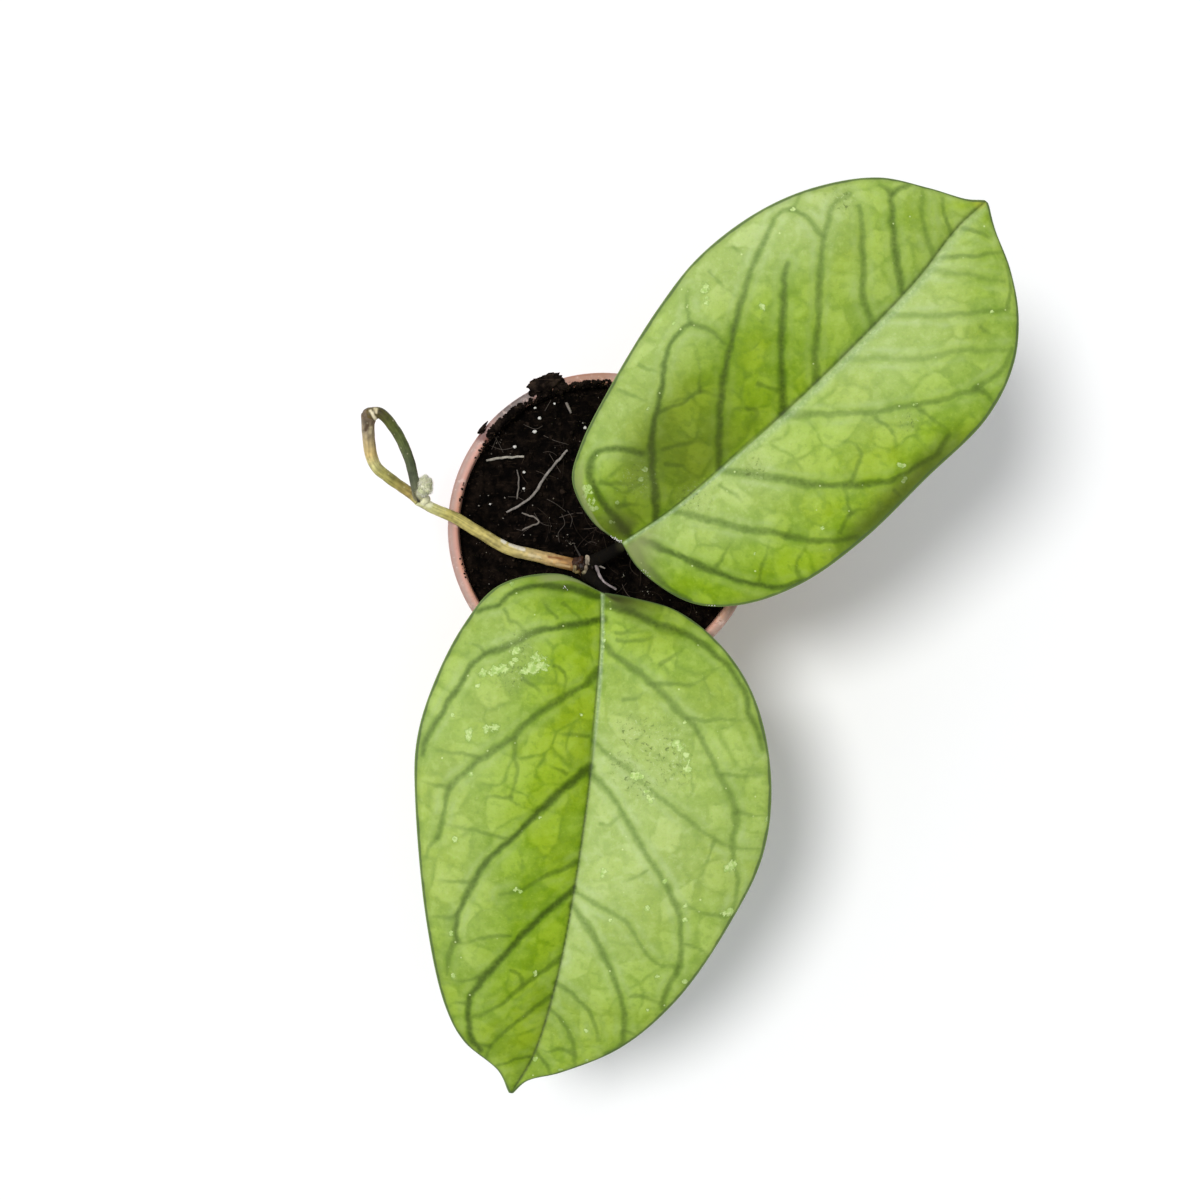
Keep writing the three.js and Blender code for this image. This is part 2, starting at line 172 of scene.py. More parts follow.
def smooth_line(points, shares):
    """Points at the given shares of the length of a smooth line through the given points. The line is a
    centripetal Catmull-Rom spline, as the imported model's own curves are: between two points it is a cubic
    whose end slopes come from the neighbours, weighed by the square root of their distances."""
    points = np.array(points, float)
    ends = [2 * points[0] - points[1], 2 * points[-1] - points[-2]]
    p0, p1, p2, p3 = (np.vstack([ends[0], points, ends[1]])[i:len(points) - 1 + i] for i in range(4))
    d0, d1, d2 = (np.sqrt(np.linalg.norm(b - a, axis=1))[:, None] for a, b in ((p0, p1), (p1, p2), (p2, p3)))
    t1 = ((p1 - p0) / d0 - (p2 - p0) / (d0 + d1) + (p2 - p1) / d1) * d1
    t2 = ((p2 - p1) / d1 - (p3 - p1) / (d1 + d2) + (p3 - p2) / d2) * d1
    t = np.linspace(0, 1, 60)[None, :, None]
    p1, p2, t1, t2 = (array[:, None, :] for array in (p1, p2, t1, t2))
    dense = p1 + t1 * t + (3 * (p2 - p1) - 2 * t1 - t2) * t**2 + (2 * (p1 - p2) + t1 + t2) * t**3
    dense = dense.reshape(-1, points.shape[1])
    travelled = np.concatenate([[0], np.cumsum(np.linalg.norm(np.diff(dense, axis=0), axis=1))])
    wanted = np.asarray(shares) * travelled[-1]
    return np.stack([np.interp(wanted, travelled, axis) for axis in dense.T], axis=1)


def level(plan):
    """Plan points with a height of 0 added."""
    return np.column_stack([plan, np.zeros(len(plan))])


def turn_about_z(angle):
    """Matrix that turns rows of points by an angle in radians about the upright axis."""
    cos, sin = math.cos(angle), math.sin(angle)
    return np.array([[cos, sin, 0], [-sin, cos, 0], [0, 0, 1]])


def line_length(points):
    """Length of a broken line through the points."""
    return np.linalg.norm(np.diff(np.array(points, float), axis=0), axis=1).sum()


def hills(points, size, seed):
    """Soft random hills from -1 to 1, about size mm apart: random values on a cubic lattice, blended smoothly
    between the eight corners round each point."""
    table = np.random.default_rng(seed).uniform(-1, 1, (24, 24, 24))
    scaled = points / size
    cell = np.floor(scaled).astype(int)
    part = scaled - cell
    part = part * part * (3 - 2 * part)
    total = np.zeros(len(points))
    for corner in np.ndindex(2, 2, 2):
        weight = np.prod(np.where(corner, part, 1 - part), axis=1)
        x, y, z = ((cell + corner) % 24).T
        total += weight * table[x, y, z]
    return total


def eased(values, low, high):
    """0 below low, 1 above high, and a smooth step between."""
    t = np.clip((values - low) / (high - low), 0, 1)
    return t * t * (3 - 2 * t)


def ring_faces(rows, columns):
    """Squares between neighbouring rows of a grid whose last column joins its first."""
    row = np.arange(rows - 1)[:, None] * columns
    column = np.arange(columns)[None, :]
    after = (column + 1) % columns
    corners = (row + column, row + after, row + columns + after, row + columns + column)
    return np.stack(corners, axis=-1).reshape(-1, 4)


def end_fan(first, columns, middle, turned=False):
    """Triangles from one middle point to a ring of columns points that starts at point number first."""
    column = np.arange(columns)
    ring = np.stack([first + column, first + (column + 1) % columns, np.full(columns, middle)], axis=1)
    return ring[:, ::-1] if turned else ring


def closed_tube(rings):
    """Points and faces of a closed tube from its rings (rows, columns, 3); each end gets a point in its
    middle."""
    rows, columns = rings.shape[:2]
    points = np.vstack([rings.reshape(-1, 3), rings[0].mean(axis=0), rings[-1].mean(axis=0)])
    count = rows * columns
    faces = [ring_faces(rows, columns), end_fan(0, columns, count, turned=True),
             end_fan(count - columns, columns, count + 1)]
    return points, faces


def tube_rings(line, radii, sides, reference=(0, 0, 1)):
    """Rings round a line: line point + radius * (side * cos a + up * sin a), where side is at right angles
    to the line and to the reference direction, and up to both. Radii are one for all rings, or one for
    each."""
    along = np.gradient(line, axis=0)
    along /= np.linalg.norm(along, axis=1)[:, None]
    side = np.cross(along, reference)
    side /= np.linalg.norm(side, axis=1)[:, None]
    up = np.cross(side, along)
    angle = np.arange(sides) * 2 * np.pi / sides
    radii = np.broadcast_to(np.atleast_2d(radii).T, (len(line), sides))
    spokes = side[:, None] * np.cos(angle)[None, :, None] + up[:, None] * np.sin(angle)[None, :, None]
    return line[:, None] + radii[..., None] * spokes


def joined(parts):
    """Several (points, faces) put into one; each face list is kept as rows of three or of four point
    numbers."""
    start, points, faces = 0, [], []
    for part_points, part_faces in parts:
        points.append(part_points)
        faces += [face + start for face in part_faces]
        start += len(part_points)
    return np.vstack(points), faces


def volume(points, faces):
    """Signed volume: positive when the faces point outwards. Each face adds the box product of its
    corners."""
    total = 0.0
    for rows in faces:
        for corner in range(1, rows.shape[1] - 1):
            a, b, c = points[rows[:, 0]], points[rows[:, corner]], points[rows[:, corner + 1]]
            total += np.einsum("ij,ij->i", a, np.cross(b, c)).sum() / 6
    return total


def make_piece(name, points, faces, material, slot, stands_for=(), values=None):
    """A finished piece from points in mm and faces. Values are numbers, or colours, for each point by name.
    It rides on the model's one body and stands for the given nodes; slot is not used."""
    if volume(points, faces) < 0:
        faces = [rows[:, ::-1] for rows in faces]
    mesh = bpy.data.meshes.new(name)
    mesh.from_pydata((points * MM).tolist(), [], [row for rows in faces for row in rows.tolist()])
    for key, numbers in (values or {}).items():
        if np.ndim(numbers) == 1:
            field = mesh.attributes.new(key, "FLOAT", "POINT")
            field.data.foreach_set("value", numbers.astype(np.float32))
        else:
            field = mesh.attributes.new(key, "FLOAT_COLOR", "POINT")
            field.data.foreach_set("color", numbers.astype(np.float32).ravel())
    mesh.shade_smooth()
    mesh.materials.append(material)
    piece = bpy.data.objects.new(name, mesh)
    bpy.context.scene.collection.objects.link(piece)
    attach(piece, "root")
    if stands_for:
        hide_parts(*stands_for)
    triangles = sum(len(rows) * (rows.shape[1] - 2) for rows in faces)
    print(f"{name}: {len(points)} points, {triangles} triangles")
    return piece


# %% [markdown]
# ## The leaves' shape
#
# A leaf is drawn flat first: along its axis from base to tip, and across it, positive to its left. Two smooth
# curves give its margins and a third the midrib. The blade then rises from the stalk, arches over to its tip,
# folds up on both sides of the midrib, and rolls down again at the margin, which is what makes one half catch
# the light and the other stay deep green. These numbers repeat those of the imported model.

# %% Leaf outlines and curvature
LEAVES = {
    "leaf_upper": {
        "base": [4.8, -4.3, 79],
        "heading": 43.1,
        "rise": [28, -5],
        "foot": [-2.9, -9, 68.2],
        "midrib": [(0, 0), (17, -2.9), (43, -3.8), (68, -3.8), (95, -2.4), (111, 0.1), (120.7, 0)],
        "left": [(0, 0), (-1.6, 9), (1.6, 19.8), (9, 24.7), (22.3, 29.4), (45.8, 35.6), (60.8, 37.6),
                 (78.5, 35.4), (93.1, 30), (105.1, 21.7), (112.3, 11.6), (117.5, 3.2), (120.7, 0)],
        "right": [(0, 0), (-1.2, -7.9), (2.5, -22.4), (11.2, -31.2), (25.3, -37.3), (42.9, -39.4),
                  (64.1, -38.8), (84.2, -38), (97.6, -33), (106.9, -25.2), (113.3, -15.6), (117.3, -6.1),
                  (120.7, 0)],
        "waves": [0.9, 3.2, 0.4],
    },
    "leaf_lower": {
        "base": [-0.3, -16.5, 75],
        "heading": -100.3,
        "rise": [17, -23],
        "foot": [-3.9, -11.8, 68.2],
        "midrib": [(0, 0), (15, 2.6), (45, 5.3), (75, 6.5), (100, 6.2), (120, 3.9), (131.7, 0)],
        "left": [(0, 0), (0, 8.5), (1.2, 19.1), (6.9, 30.4), (15.5, 39.5), (27, 46.1), (43.9, 50.8),
                 (59.1, 51), (75.4, 46.4), (98.3, 36.6), (113.5, 25.2), (123.2, 11.4), (127.4, 3),
                 (131.7, 0)],
        "right": [(0, 0), (-2.6, -11.3), (3.1, -25.8), (15.2, -32.9), (33.2, -37.7), (46, -38.6),
                  (59.7, -36.4), (88, -28.9), (110.9, -20), (119.4, -13.9), (126.1, -3.7), (131.7, 0)],
        "waves": [0.8, 2.7, 1.9],
    },
}
FOLD_AT_MIDRIB = math.tan(math.radians(20))
FALL_AT_MARGIN = math.tan(math.radians(15))
BLADE_MIDDLE = 1.3
BLADE_MARGIN = 0.8
KEEL_DEPTH = 1.5
KEEL_WIDTH = 2.2


def midrib_rise(leaf, t):
    """Height of the midrib at share t of the length: a slope that turns evenly from the first angle to the
    last."""
    start, end = (math.tan(math.radians(angle)) for angle in leaf["rise"])
    return leaf["midrib"][-1][0] * (start * t - (start - end) / 2 * t * t)


def leaf_surface(leaf, u, q):
    """Upper face at u from base to tip (rows) and q from right margin, -1, over the midrib, 0, to the left,
    1. Plan point = midrib + |q| * (margin - midrib), and height = midrib's rise + fold + wave, where
    fold = half width * (20 degree slope * |q| - both slopes / 2 * q ** 2)."""
    spine = smooth_line(leaf["midrib"], u)[:, None]
    left, right = (smooth_line(leaf[side], u)[:, None] for side in ("left", "right"))
    share = np.abs(q)[None, :, None]
    margin = np.where(q[None, :, None] > 0, left, right)
    plan = spine + share * (margin - spine)
    half_width = np.linalg.norm(margin - spine, axis=2)
    share = share[..., 0]
    fold = half_width * (FOLD_AT_MIDRIB * share - (FOLD_AT_MIDRIB + FALL_AT_MARGIN) / 2 * share**2)
    size, count, phase = leaf["waves"]
    wave = size * share**2 * np.sin(2 * np.pi * count * u[:, None] + phase + np.sign(q)[None, :])
    height = midrib_rise(leaf, plan[..., 0] / leaf["midrib"][-1][0]) + fold
    height += wave * np.sin(np.pi * u)[:, None]
    return plan, height, np.linalg.norm(plan - spine, axis=2), half_width


def in_place(leaf, points):
    """Turns leaf-local points by the heading and moves them to the leaf's base."""
    return points @ turn_about_z(math.radians(leaf["heading"])) + leaf["base"]


# %% [markdown]
# ## The leaves' veins
#
# The dark veins are what this plant is grown for. Side veins leave the midrib, run out in a bow and join
# hands near the margin; short cross veins tie them together. Their routes are listed along each
# leaf, in millimetres along and across it, and a smooth line is laid through each.

# %% Vein routes
SIDE_VEINS = {
    "leaf_upper": [
        [(3, 0), (3.3, 6), (3.9, 14), (7, 19.5), (11, 20.7), (14.6, 18.3), (18.8, 12.8)],
        [(10.4, -1.4), (15.4, 4.8), (22.6, 13.6), (30.6, 19.5), (38.4, 25.7), (43.4, 27.8), (48.3, 27.8)],
        [(30.1, -2.8), (36.8, 4.7), (47.9, 14.4), (58, 21.3), (67.4, 26.7), (75.2, 29.9), (80.5, 31.9),
         (84, 31), (85.3, 27.5), (85.2, 21)],
        [(50.2, -3.8), (53.7, 0.3), (60.2, 8.3), (65.2, 13.3), (70.2, 18.3), (73, 20.8), (74.6, 21.4)],
        [(60.8, -3.6), (65.2, 1.1), (73, 8.9), (81.3, 17.2), (86.8, 21.3), (92.3, 24.4), (97, 24)],
        [(80.2, -2.8), (82.4, 3.3), (87.9, 9.4), (93.5, 15.8), (96.5, 20.2)],
        [(90.7, -1.9), (94, 3.9), (97.9, 9.4), (102.3, 14.7), (104.5, 16.6), (109, 16)],
        [(101.8, -1.5), (103.4, 2.8), (105.9, 7.8), (110, 12)],
        [(4.1, -2.6), (7.3, -9.5), (10.5, -17.7), (14.1, -25.5), (18.8, -32.5), (22, -35.5), (26.5, -37)],
        [(15.2, -3.3), (21.3, -13.3), (26, -20.3), (31, -26.7), (36.8, -34.3), (42.3, -38.2)],
        [(30.7, -4.2), (36.8, -12.2), (40.7, -18), (47.9, -26), (53.4, -30.5), (58, -33.8), (65.2, -35.5),
         (69.1, -36.6), (74.6, -35.3)],
        [(50, -4.2), (54.5, -8.3), (61.3, -15), (68.5, -20.5), (76.8, -26), (83, -29.4), (88, -31.5),
         (94.6, -32), (100, -30.3)],
        [(70, -5), (75.2, -9.4), (81.3, -16), (89, -21), (94, -25.2), (99, -29.4)],
        [(84, -3.5), (87.9, -7.7), (94.6, -14.1), (100.7, -18.5), (106.2, -22.7)],
        [(98, -2), (102.9, -7.7), (107.3, -13.8), (110.1, -17.1)],
        [(1.7, -1.5), (0.8, -5.5), (0.5, -12), (1.2, -17), (2.7, -22)],
    ],
    "leaf_lower": [
        [(3.3, 1.4), (3.6, 6), (4.2, 10.3), (5.5, 15.9), (6.4, 20.9), (8, 26.6), (11.1, 32.3), (14.3, 36.4),
         (19.6, 40.4), (23.4, 41.7), (27.5, 44.8), (31.3, 46.7)],
        [(12.6, 2.4), (15.5, 6.5), (16.8, 9.6), (20.3, 16.5), (25.6, 23.8), (30, 29.7), (33.8, 32.9),
         (40.1, 37.3), (44.5, 40.8), (49.5, 43), (56.4, 43.6), (61.4, 44.8), (65.5, 46.6), (71.5, 46.7),
         (73.7, 46)],
        [(45.6, 5.6), (49.5, 11.2), (54.5, 15.9), (60.2, 20.6), (65.2, 25.3), (71.5, 30.7), (77.1, 33.8),
         (84.1, 35.4), (89.7, 35.7), (96, 34.3), (100.5, 33.6)],
        [(79.3, 6.7), (83.7, 11.7), (90, 16.8), (96.3, 21.2), (103.2, 24.3), (108.9, 25.5), (114.2, 24.7),
         (116, 22.2)],
        [(6.6, 1.4), (8.3, -2.3), (10.8, -9.2), (13, -14.9), (17.4, -20.6), (21.2, -26.5), (24.3, -29.1),
         (31.3, -31.6), (36.9, -34.1), (43.8, -36.6), (48.2, -36.9)],
        [(19.6, 2.9), (22.9, 0.6), (27.9, -4.8), (33.5, -10.7), (39.8, -15.8), (46.1, -22.1), (49.9, -25.2),
         (53.3, -27.8), (57, -29.1), (61.4, -29.1), (67.7, -29.4)],
        [(43.6, 5.2), (46.4, 2.7), (52.6, -2.6), (58.9, -7), (65.2, -11.5), (71.5, -16.2), (77.8, -19),
         (84.1, -20.7), (90.3, -21.3), (92.9, -20.3)],
        [(74.6, 6.5), (78.4, 3.6), (84.7, -1.7), (89.7, -5), (96, -8.6), (102.3, -12.5), (108.6, -14.6),
         (115.5, -13.3), (118.6, -12.1), (121, -9.6)],
        [(1.2, 0), (0.6, -7), (1, -15), (4.2, -22.3), (7.6, -25.4), (10.4, -30)],
    ],
}
# How dark each side vein is, from 0 to 1, in the same order; the painted sheen veils those near the tip
SIDE_DARKNESS = {
    "leaf_upper": [0.92, 1.0, 0.75, 0.8, 0.62, 0.6, 0.75, 0.4, 0.95, 0.66, 0.7, 0.5, 0.36, 0.45, 0.36, 0.75],
    "leaf_lower": [0.75, 0.56, 0.68, 0.66, 0.9, 0.66, 0.95, 0.95, 1.0],
}
WEAK_SIDE_VEINS = {
    "leaf_upper": [
        [(108.7, 0), (109.8, 3.3), (112.8, 7.8)], [(48.3, 27.8), (49.5, 29.4), (50.6, 31), (53.5, 34)],
        [(48.7, 27.4), (49.8, 24.9), (51, 22), (50.6, 18.3)], [(84.2, 30.8), (88.2, 31.6)],
        [(104.5, 16.6), (104.5, 18.8), (104, 20.5)], [(103.5, -3), (110.1, -8.6), (115, -11.6)],
        [(112, -1), (113.7, -4.4), (114.5, -6.5)], [(87, -31), (88.3, -34), (88, -36.5)],
    ],
    "leaf_lower": [
        [(37.2, 4.8), (39.4, 7.7), (42.3, 14), (47, 21.3), (50.8, 28.8), (53.9, 34.8), (56.4, 41.1),
         (57, 43.3), (56.8, 47), (56.5, 51)],
        [(75.4, 6.6), (77.1, 11.5), (80, 19.7), (85.9, 26), (89.1, 29.5), (89.7, 35.7)],
        [(99.6, 6.3), (101.3, 10.3), (106.1, 16.5), (112.4, 19.4)],
        [(106.5, 5.7), (109.8, 10.3), (115.5, 13.7), (120.8, 15.3)], [(119, 4.4), (122.4, 8.4), (125, 9.6)],
        [(68, 6.3), (70.2, 2.7), (74, -3), (77.1, -6.4), (79.3, -11.4)],
        [(92.9, 6.3), (96.6, 2.7), (102.9, -3), (108.6, -7.7), (112.4, -13)],
        [(103.3, 5.7), (107.3, 2.1), (112.4, -2.6), (118, -6.7), (123.7, -8)],
        [(120.5, 3), (121.8, -0.4), (124.3, -4.8)],
        [(92.9, -20.3), (94.8, -21.2), (97.3, -21.8), (102.5, -21.2)],
    ],
}
CROSS_VEINS = {
    "leaf_upper": [
        [(28.2, 17.2), (34, 15), (38.7, 13.9), (41.8, 9.7)], [(38.7, 13.9), (40.1, 15.5), (41.8, 16.6)],
        [(23.2, 10), (28.5, 6.9), (30.7, 5.3), (31.8, 2.8)], [(21, 6.7), (23.5, 3.9), (23.7, 0.5)],
        [(6.3, 15), (9.1, 12.1), (13.2, 7.8)], [(5.8, 7.8), (9.4, 4.2)],
        [(25.2, 28.3), (27.4, 22.8), (28.2, 20.2)], [(32.9, 29.4), (33.5, 26.6), (34.8, 24.4)],
        [(44.6, 3.3), (45.7, 1.7), (45.1, -1)], [(50.4, 5.5), (53.4, 0.5)],
        [(60.2, 33.5), (60, 29), (60.5, 24.5)], [(68, 33.8), (68.8, 30.5)],
        [(13, -20.6), (16.5, -19.5), (20.5, -18)], [(18.2, -30.5), (21, -28), (24.6, -26.3), (26.5, -24.5)],
        [(26, -36.6), (27.9, -33.3), (32.3, -31.3)], [(30, -26.5), (33, -25.5)],
        [(40.4, -34.6), (45.1, -33), (49.5, -35)], [(45.1, -33), (46.8, -30.5), (47.9, -27)],
        [(50.5, -27), (53.4, -25.8), (56.3, -24.3), (57, -21.5), (55, -17.5)], [(56.7, -36), (57, -38.5)],
        [(27.4, -6.2), (28.5, -13)], [(65.2, -19.9), (65.5, -25.5), (64, -28.8)],
        [(74, -25), (74.6, -28.3), (75.7, -35)], [(98, -21.5), (98.7, -24.4)],
        [(106.5, -22), (110.5, -19), (114, -13)],
    ],
    "leaf_lower": [
        [(20.3, 16.5), (19.6, 22.8), (19, 26), (17.4, 28.5), (15.5, 30.4), (12.7, 33.5)],
        [(15, 17.6), (11.7, 21.6), (9.6, 23.5)], [(11.4, 5.8), (11.1, 9), (9.9, 12.8), (8.6, 15.3)],
        [(9.6, 5.2), (8.9, 7.7), (6.7, 10.3)], [(27.5, 27.2), (26.9, 31.6), (25.9, 36.7), (25.3, 42.6)],
        [(39.4, 37.6), (39.1, 41.7), (38.5, 44.8), (37.2, 49.2)], [(48.2, 43), (48.2, 46.1), (48.2, 50.8)],
        [(25.6, 10.3), (24.7, 13.4), (23.1, 14.7)], [(57, 10.3), (57, 12.1), (53.3, 15.3)],
        [(66.4, 23.5), (68.3, 21.6), (70.5, 18.1)], [(83.4, 36.7), (83.7, 39.2), (84.5, 42.4)],
        [(74.6, 45), (74.6, 39.8), (73.7, 34.8), (73.4, 32.3)], [(99.2, 25.3), (98.5, 27.9), (99.8, 33.5)],
        [(108.9, 25.8), (109.2, 28.5), (109.8, 29.6)], [(56.4, 38.6), (61.4, 37.9), (64, 35.5)],
        [(117, 14), (116.7, 10.3), (118, 7), (117.6, 4.6)],
        [(20.6, -8.6), (21.2, -6.1), (23.1, -5.2), (27, -5)], [(36.3, 3.3), (36.6, -0.4), (36.9, -4.8)],
        [(46.4, -0.4), (45.7, -3.6), (45.1, -5.5)],
        [(39.4, -14.9), (45.7, -13.6), (48.9, -12.7), (55.2, -12.7), (57, -7)],
        [(54.8, -13), (54.8, -16.2), (56, -20)], [(25, -15.5), (26.2, -12.4), (27.5, -9.9)],
        [(46.4, -23), (45.7, -26.9), (46.4, -30.6), (45.7, -35.5)],
        [(64.9, -12.4), (64.9, -16.2), (64.3, -21.2), (64.2, -28.9)],
        [(54.5, -28.7), (54.8, -31.9), (54.5, -36)],
        [(8.6, -23.7), (11.1, -21.8), (11.4, -19.9), (14, -16.8)], [(8.6, -10), (6.7, -12.4), (4.2, -14.9)],
        [(4.5, -9), (6.5, -6), (7.8, -4)], [(20.5, -26.2), (19, -28), (18.7, -31.5)],
        [(89.1, -7.4), (89.7, -11.1), (92.5, -16.8), (93.2, -20)],
        [(101, -13), (102.3, -15.5), (103.6, -20.3)], [(77.5, -19.5), (78.4, -24.3), (78.7, -28)],
        [(87.2, -21.5), (87.8, -25.6), (88.5, -28.1)], [(97.9, -5.5), (99.2, -3), (103, -1.5)],
        [(119.3, -7.4), (119.6, -11.1)], [(108.6, -15), (109.8, -19.3)],
        [(67.7, -29.4), (71, -31.2), (74.5, -31.6)],
    ],
}
# Darkness, half widths in mm where a vein starts and ends, and how much it has faded at its end
VEIN_CLASSES = [(SIDE_VEINS, None, 0.98, 0.7, 0.15), (WEAK_SIDE_VEINS, 0.56, 0.7, 0.56, 0.4),
                (CROSS_VEINS, 0.46, 0.6, 0.54, 0.6)]
print("veins:", {name: len(SIDE_VEINS[name]) + len(WEAK_SIDE_VEINS[name]) + len(CROSS_VEINS[name])
                 for name in LEAVES})

# %% Scars and pores
# Pale scars, which are ragged clusters of dried flakes: place along and across the leaf, and radius, in mm
SCARS = {
    "leaf_upper": [(56.2, 31, 0.8), (57, 31.6, 0.7), (54.5, 28.5, 0.5), (55.3, 29.4, 0.4),
                   (63.5, 18.9, 0.6), (63.2, 18, 0.5), (16.5, 9.5, 0.6), (14.2, 8.5, 0.5), (2.6, 16.8, 0.5),
                   (3.4, 16, 0.6), (2.2, 15.6, 0.5), (1.2, 15, 0.6), (0.4, 14.2, 0.6), (1.4, 13.8, 0.5),
                   (0.7, 13, 0.5), (1.6, 12.4, 0.5), (0.6, 11.8, 0.6), (1.3, 11, 0.5), (2.4, 12.9, 0.4),
                   (3, 14.6, 0.4), (1.6, 6, 0.4), (2.2, 5.2, 0.35), (61.5, -32.3, 0.7), (62.4, -33.2, 0.5),
                   (60.5, -35.5, 0.6), (59.6, -35.8, 0.4), (74, -24, 0.45), (102.5, -20.5, 0.55),
                   (6, 8.5, 0.45), (8, 10.5, 0.3), (27, 19.8, 0.35), (45.5, 30.5, 0.3), (38, -30.8, 0.35),
                   (22, -24.4, 0.3), (84.5, 30.4, 0.4)],
    "leaf_lower": [(20.4, -11.6, 1.5), (19.2, -13.2, 1.3), (21.8, -13.6, 1.5), (22.8, -15.4, 1.1),
                   (18.4, -18.7, 0.9), (20.6, -18.4, 0.6), (21.8, -19.3, 0.7), (23.4, -20.9, 1.1),
                   (24.3, -23.1, 1.2), (25.3, -25.9, 0.8), (28.7, -26.4, 0.5), (38.1, -20.2, 0.9),
                   (38.9, -22.1, 0.9), (40.3, -26.4, 0.8), (41.8, -26.2, 0.6), (50.4, -24.2, 0.6),
                   (36.9, -31.3, 0.5), (33.9, 25, 0.9), (35, 26.1, 0.7), (39.7, 28.9, 0.9),
                   (36.3, 27.9, 0.7), (37.6, 28.8, 0.5), (47.6, 20.2, 0.9), (49.1, 21.3, 0.7),
                   (43.8, 16.5, 1.0), (43.6, 18, 0.6), (28.4, 26.3, 0.4), (61.3, 44.4, 1.0),
                   (62.2, 43.4, 0.9), (73.4, 45.8, 1.0), (74, 44.6, 0.8), (69, 13.1, 0.8), (70, 12.9, 0.6),
                   (68.3, 28.5, 0.6), (75.8, 25.5, 0.7), (77, 35, 0.6), (73.4, 34.6, 0.5),
                   (92.7, 30.9, 0.45), (80.7, 16.7, 0.45), (97.9, 0.8, 0.6), (77.5, -6.7, 0.5),
                   (77.2, -8, 0.4), (67.4, -25, 0.6), (102, -19.6, 0.6), (91.3, -22.1, 0.6),
                   (110.4, 15.9, 0.5), (102, 30.4, 0.4), (118.5, 17.5, 0.4), (122.4, 11.4, 0.4),
                   (120.8, 4.6, 0.5), (92.9, 38.2, 0.6), (58.3, -5.2, 0.35), (10, 2.3, 0.4), (12, 2.6, 0.5),
                   (13.6, 2.7, 0.4), (31.2, 0.4, 0.5), (48.5, 51.2, 0.6), (2, -23, 0.5)],
}
# Places whose open pores have gone brown: along, across, radius
PORE_PATCHES = {
    "leaf_upper": [(20, -4, 3), (36, -9, 2.5), (14, 9, 3), (70, -26, 2), (95, 24, 2.4)],
    "leaf_lower": [(35, 21, 5), (40, 24, 4.5), (33, 14, 3.5), (42, 14, 3), (46, 18, 3), (17, -18, 3),
                   (25, -18, 3)],
}
print("scars:", {name: len(places) for name, places in SCARS.items()})

# %% [markdown]
# ## The leaves' fields
#
# A field is one number for each point of the blade's mesh: how dark its veins are there, how close it is to
# the finest net, how much painted sheen and painted shade it takes. Fields are worked out as arrays from the
# routes and places above. The mesh keeps them under their names, the material turns them to colour, and the
# veins' field also shapes the relief.

# %% Fields of veins and net
NET_SIZE = 7.5                 # mm between the middles of the finest veins' cells


def vein_fields(name, plan):
    """For each plan point: how dark the veins are there, from 0 to 1, and how far the nearest side vein is,
    in mm. With r = distance / half width, one vein gives a flat band with a fine dark core:
    darkness * (0.86 / (1 + r ** 4) + 0.14 * exp(-(2.6 * r) ** 2)).
    Several are put together as 1 - product of (1 - each)."""
    flat = level(plan)
    moved = plan + 0.3 * np.column_stack([hills(flat, 2.6, 11), hills(flat, 2.6, 12)])
    moved = moved + 0.16 * np.column_stack([hills(flat, 0.9, 9), hills(flat, 0.9, 10)])
    clear, nearest = np.ones(len(plan)), np.full(len(plan), 20.0)
    for group, same_darkness, start_width, end_width, fading in VEIN_CLASSES:
        for number_of_vein, route in enumerate(group[name]):
            darkness = same_darkness or SIDE_DARKNESS[name][number_of_vein]
            shares = np.linspace(0, 1, int(line_length(route) / 0.5) + 2)
            line = smooth_line(route, shares)
            near = np.all((moved > line.min(axis=0) - 6) & (moved < line.max(axis=0) + 6), axis=1)
            apart = np.linalg.norm(moved[near][:, None] - line[None], axis=2)
            closest = apart.argmin(axis=1)
            distance = apart[np.arange(len(closest)), closest]
            width = (start_width + (end_width - start_width) * shares)[closest]
            width = width * (1 + 0.22 * hills(flat[near], 6, 13))
            fade = (1 - fading * shares**2)[closest]
            reach = distance / width
            clear[near] *= 1 - darkness * fade * (0.86 / (1 + reach**4) + 0.14 * np.exp(-(2.6 * reach) ** 2))
            if group is not CROSS_VEINS:
                nearest[near] = np.minimum(nearest[near], distance)
    return 1 - clear, nearest


def net_fields(plan):
    """The net of finest veins: how close each plan point is to a cell's border, how close to its middle,
    and how pale its cell is, from -1 to 1. Middles stand on a shaken grid, bent by soft hills. With d1 and
    d2 the distances to the nearest and second nearest middle, border = exp(-((d2 - d1) / 0.95) squared) and
    middle = exp(-(d1 / 2.4) squared); a cell's own tone fades to nothing at its border."""
    flat = level(plan)
    bent = plan + 2.2 * np.column_stack([hills(flat, 8, 15), hills(flat, 8, 16)])
    bent = (bent + 0.5 * np.column_stack([hills(flat, 2.1, 18), hills(flat, 2.1, 19)])) / NET_SIZE
    shaken = np.random.default_rng(17).uniform(0.08, 0.92, (24, 24, 2))
    corner = np.floor(bent).astype(int)
    reach, tones = [], []
    for step in np.ndindex(3, 3):
        cell = (corner + np.array(step) - 1) % 24
        shift = shaken[cell[:, 0], cell[:, 1]]
        reach.append(np.linalg.norm(bent - corner - np.array(step) + 1 - shift, axis=1) * NET_SIZE)
        tones.append(np.sin(40 * shift.sum(axis=1)))
    order = np.argsort(reach, axis=0)
    nearest, second = np.take_along_axis(np.array(reach), order[:2], axis=0)
    apart = second - nearest
    tone = np.take_along_axis(np.array(tones), order[:1], axis=0)[0] * (1 - np.exp(-(apart / 0.8) ** 2))
    return np.exp(-(apart / 0.95) ** 2), np.exp(-(nearest / 2.4) ** 2), tone


# %% Fields of spots


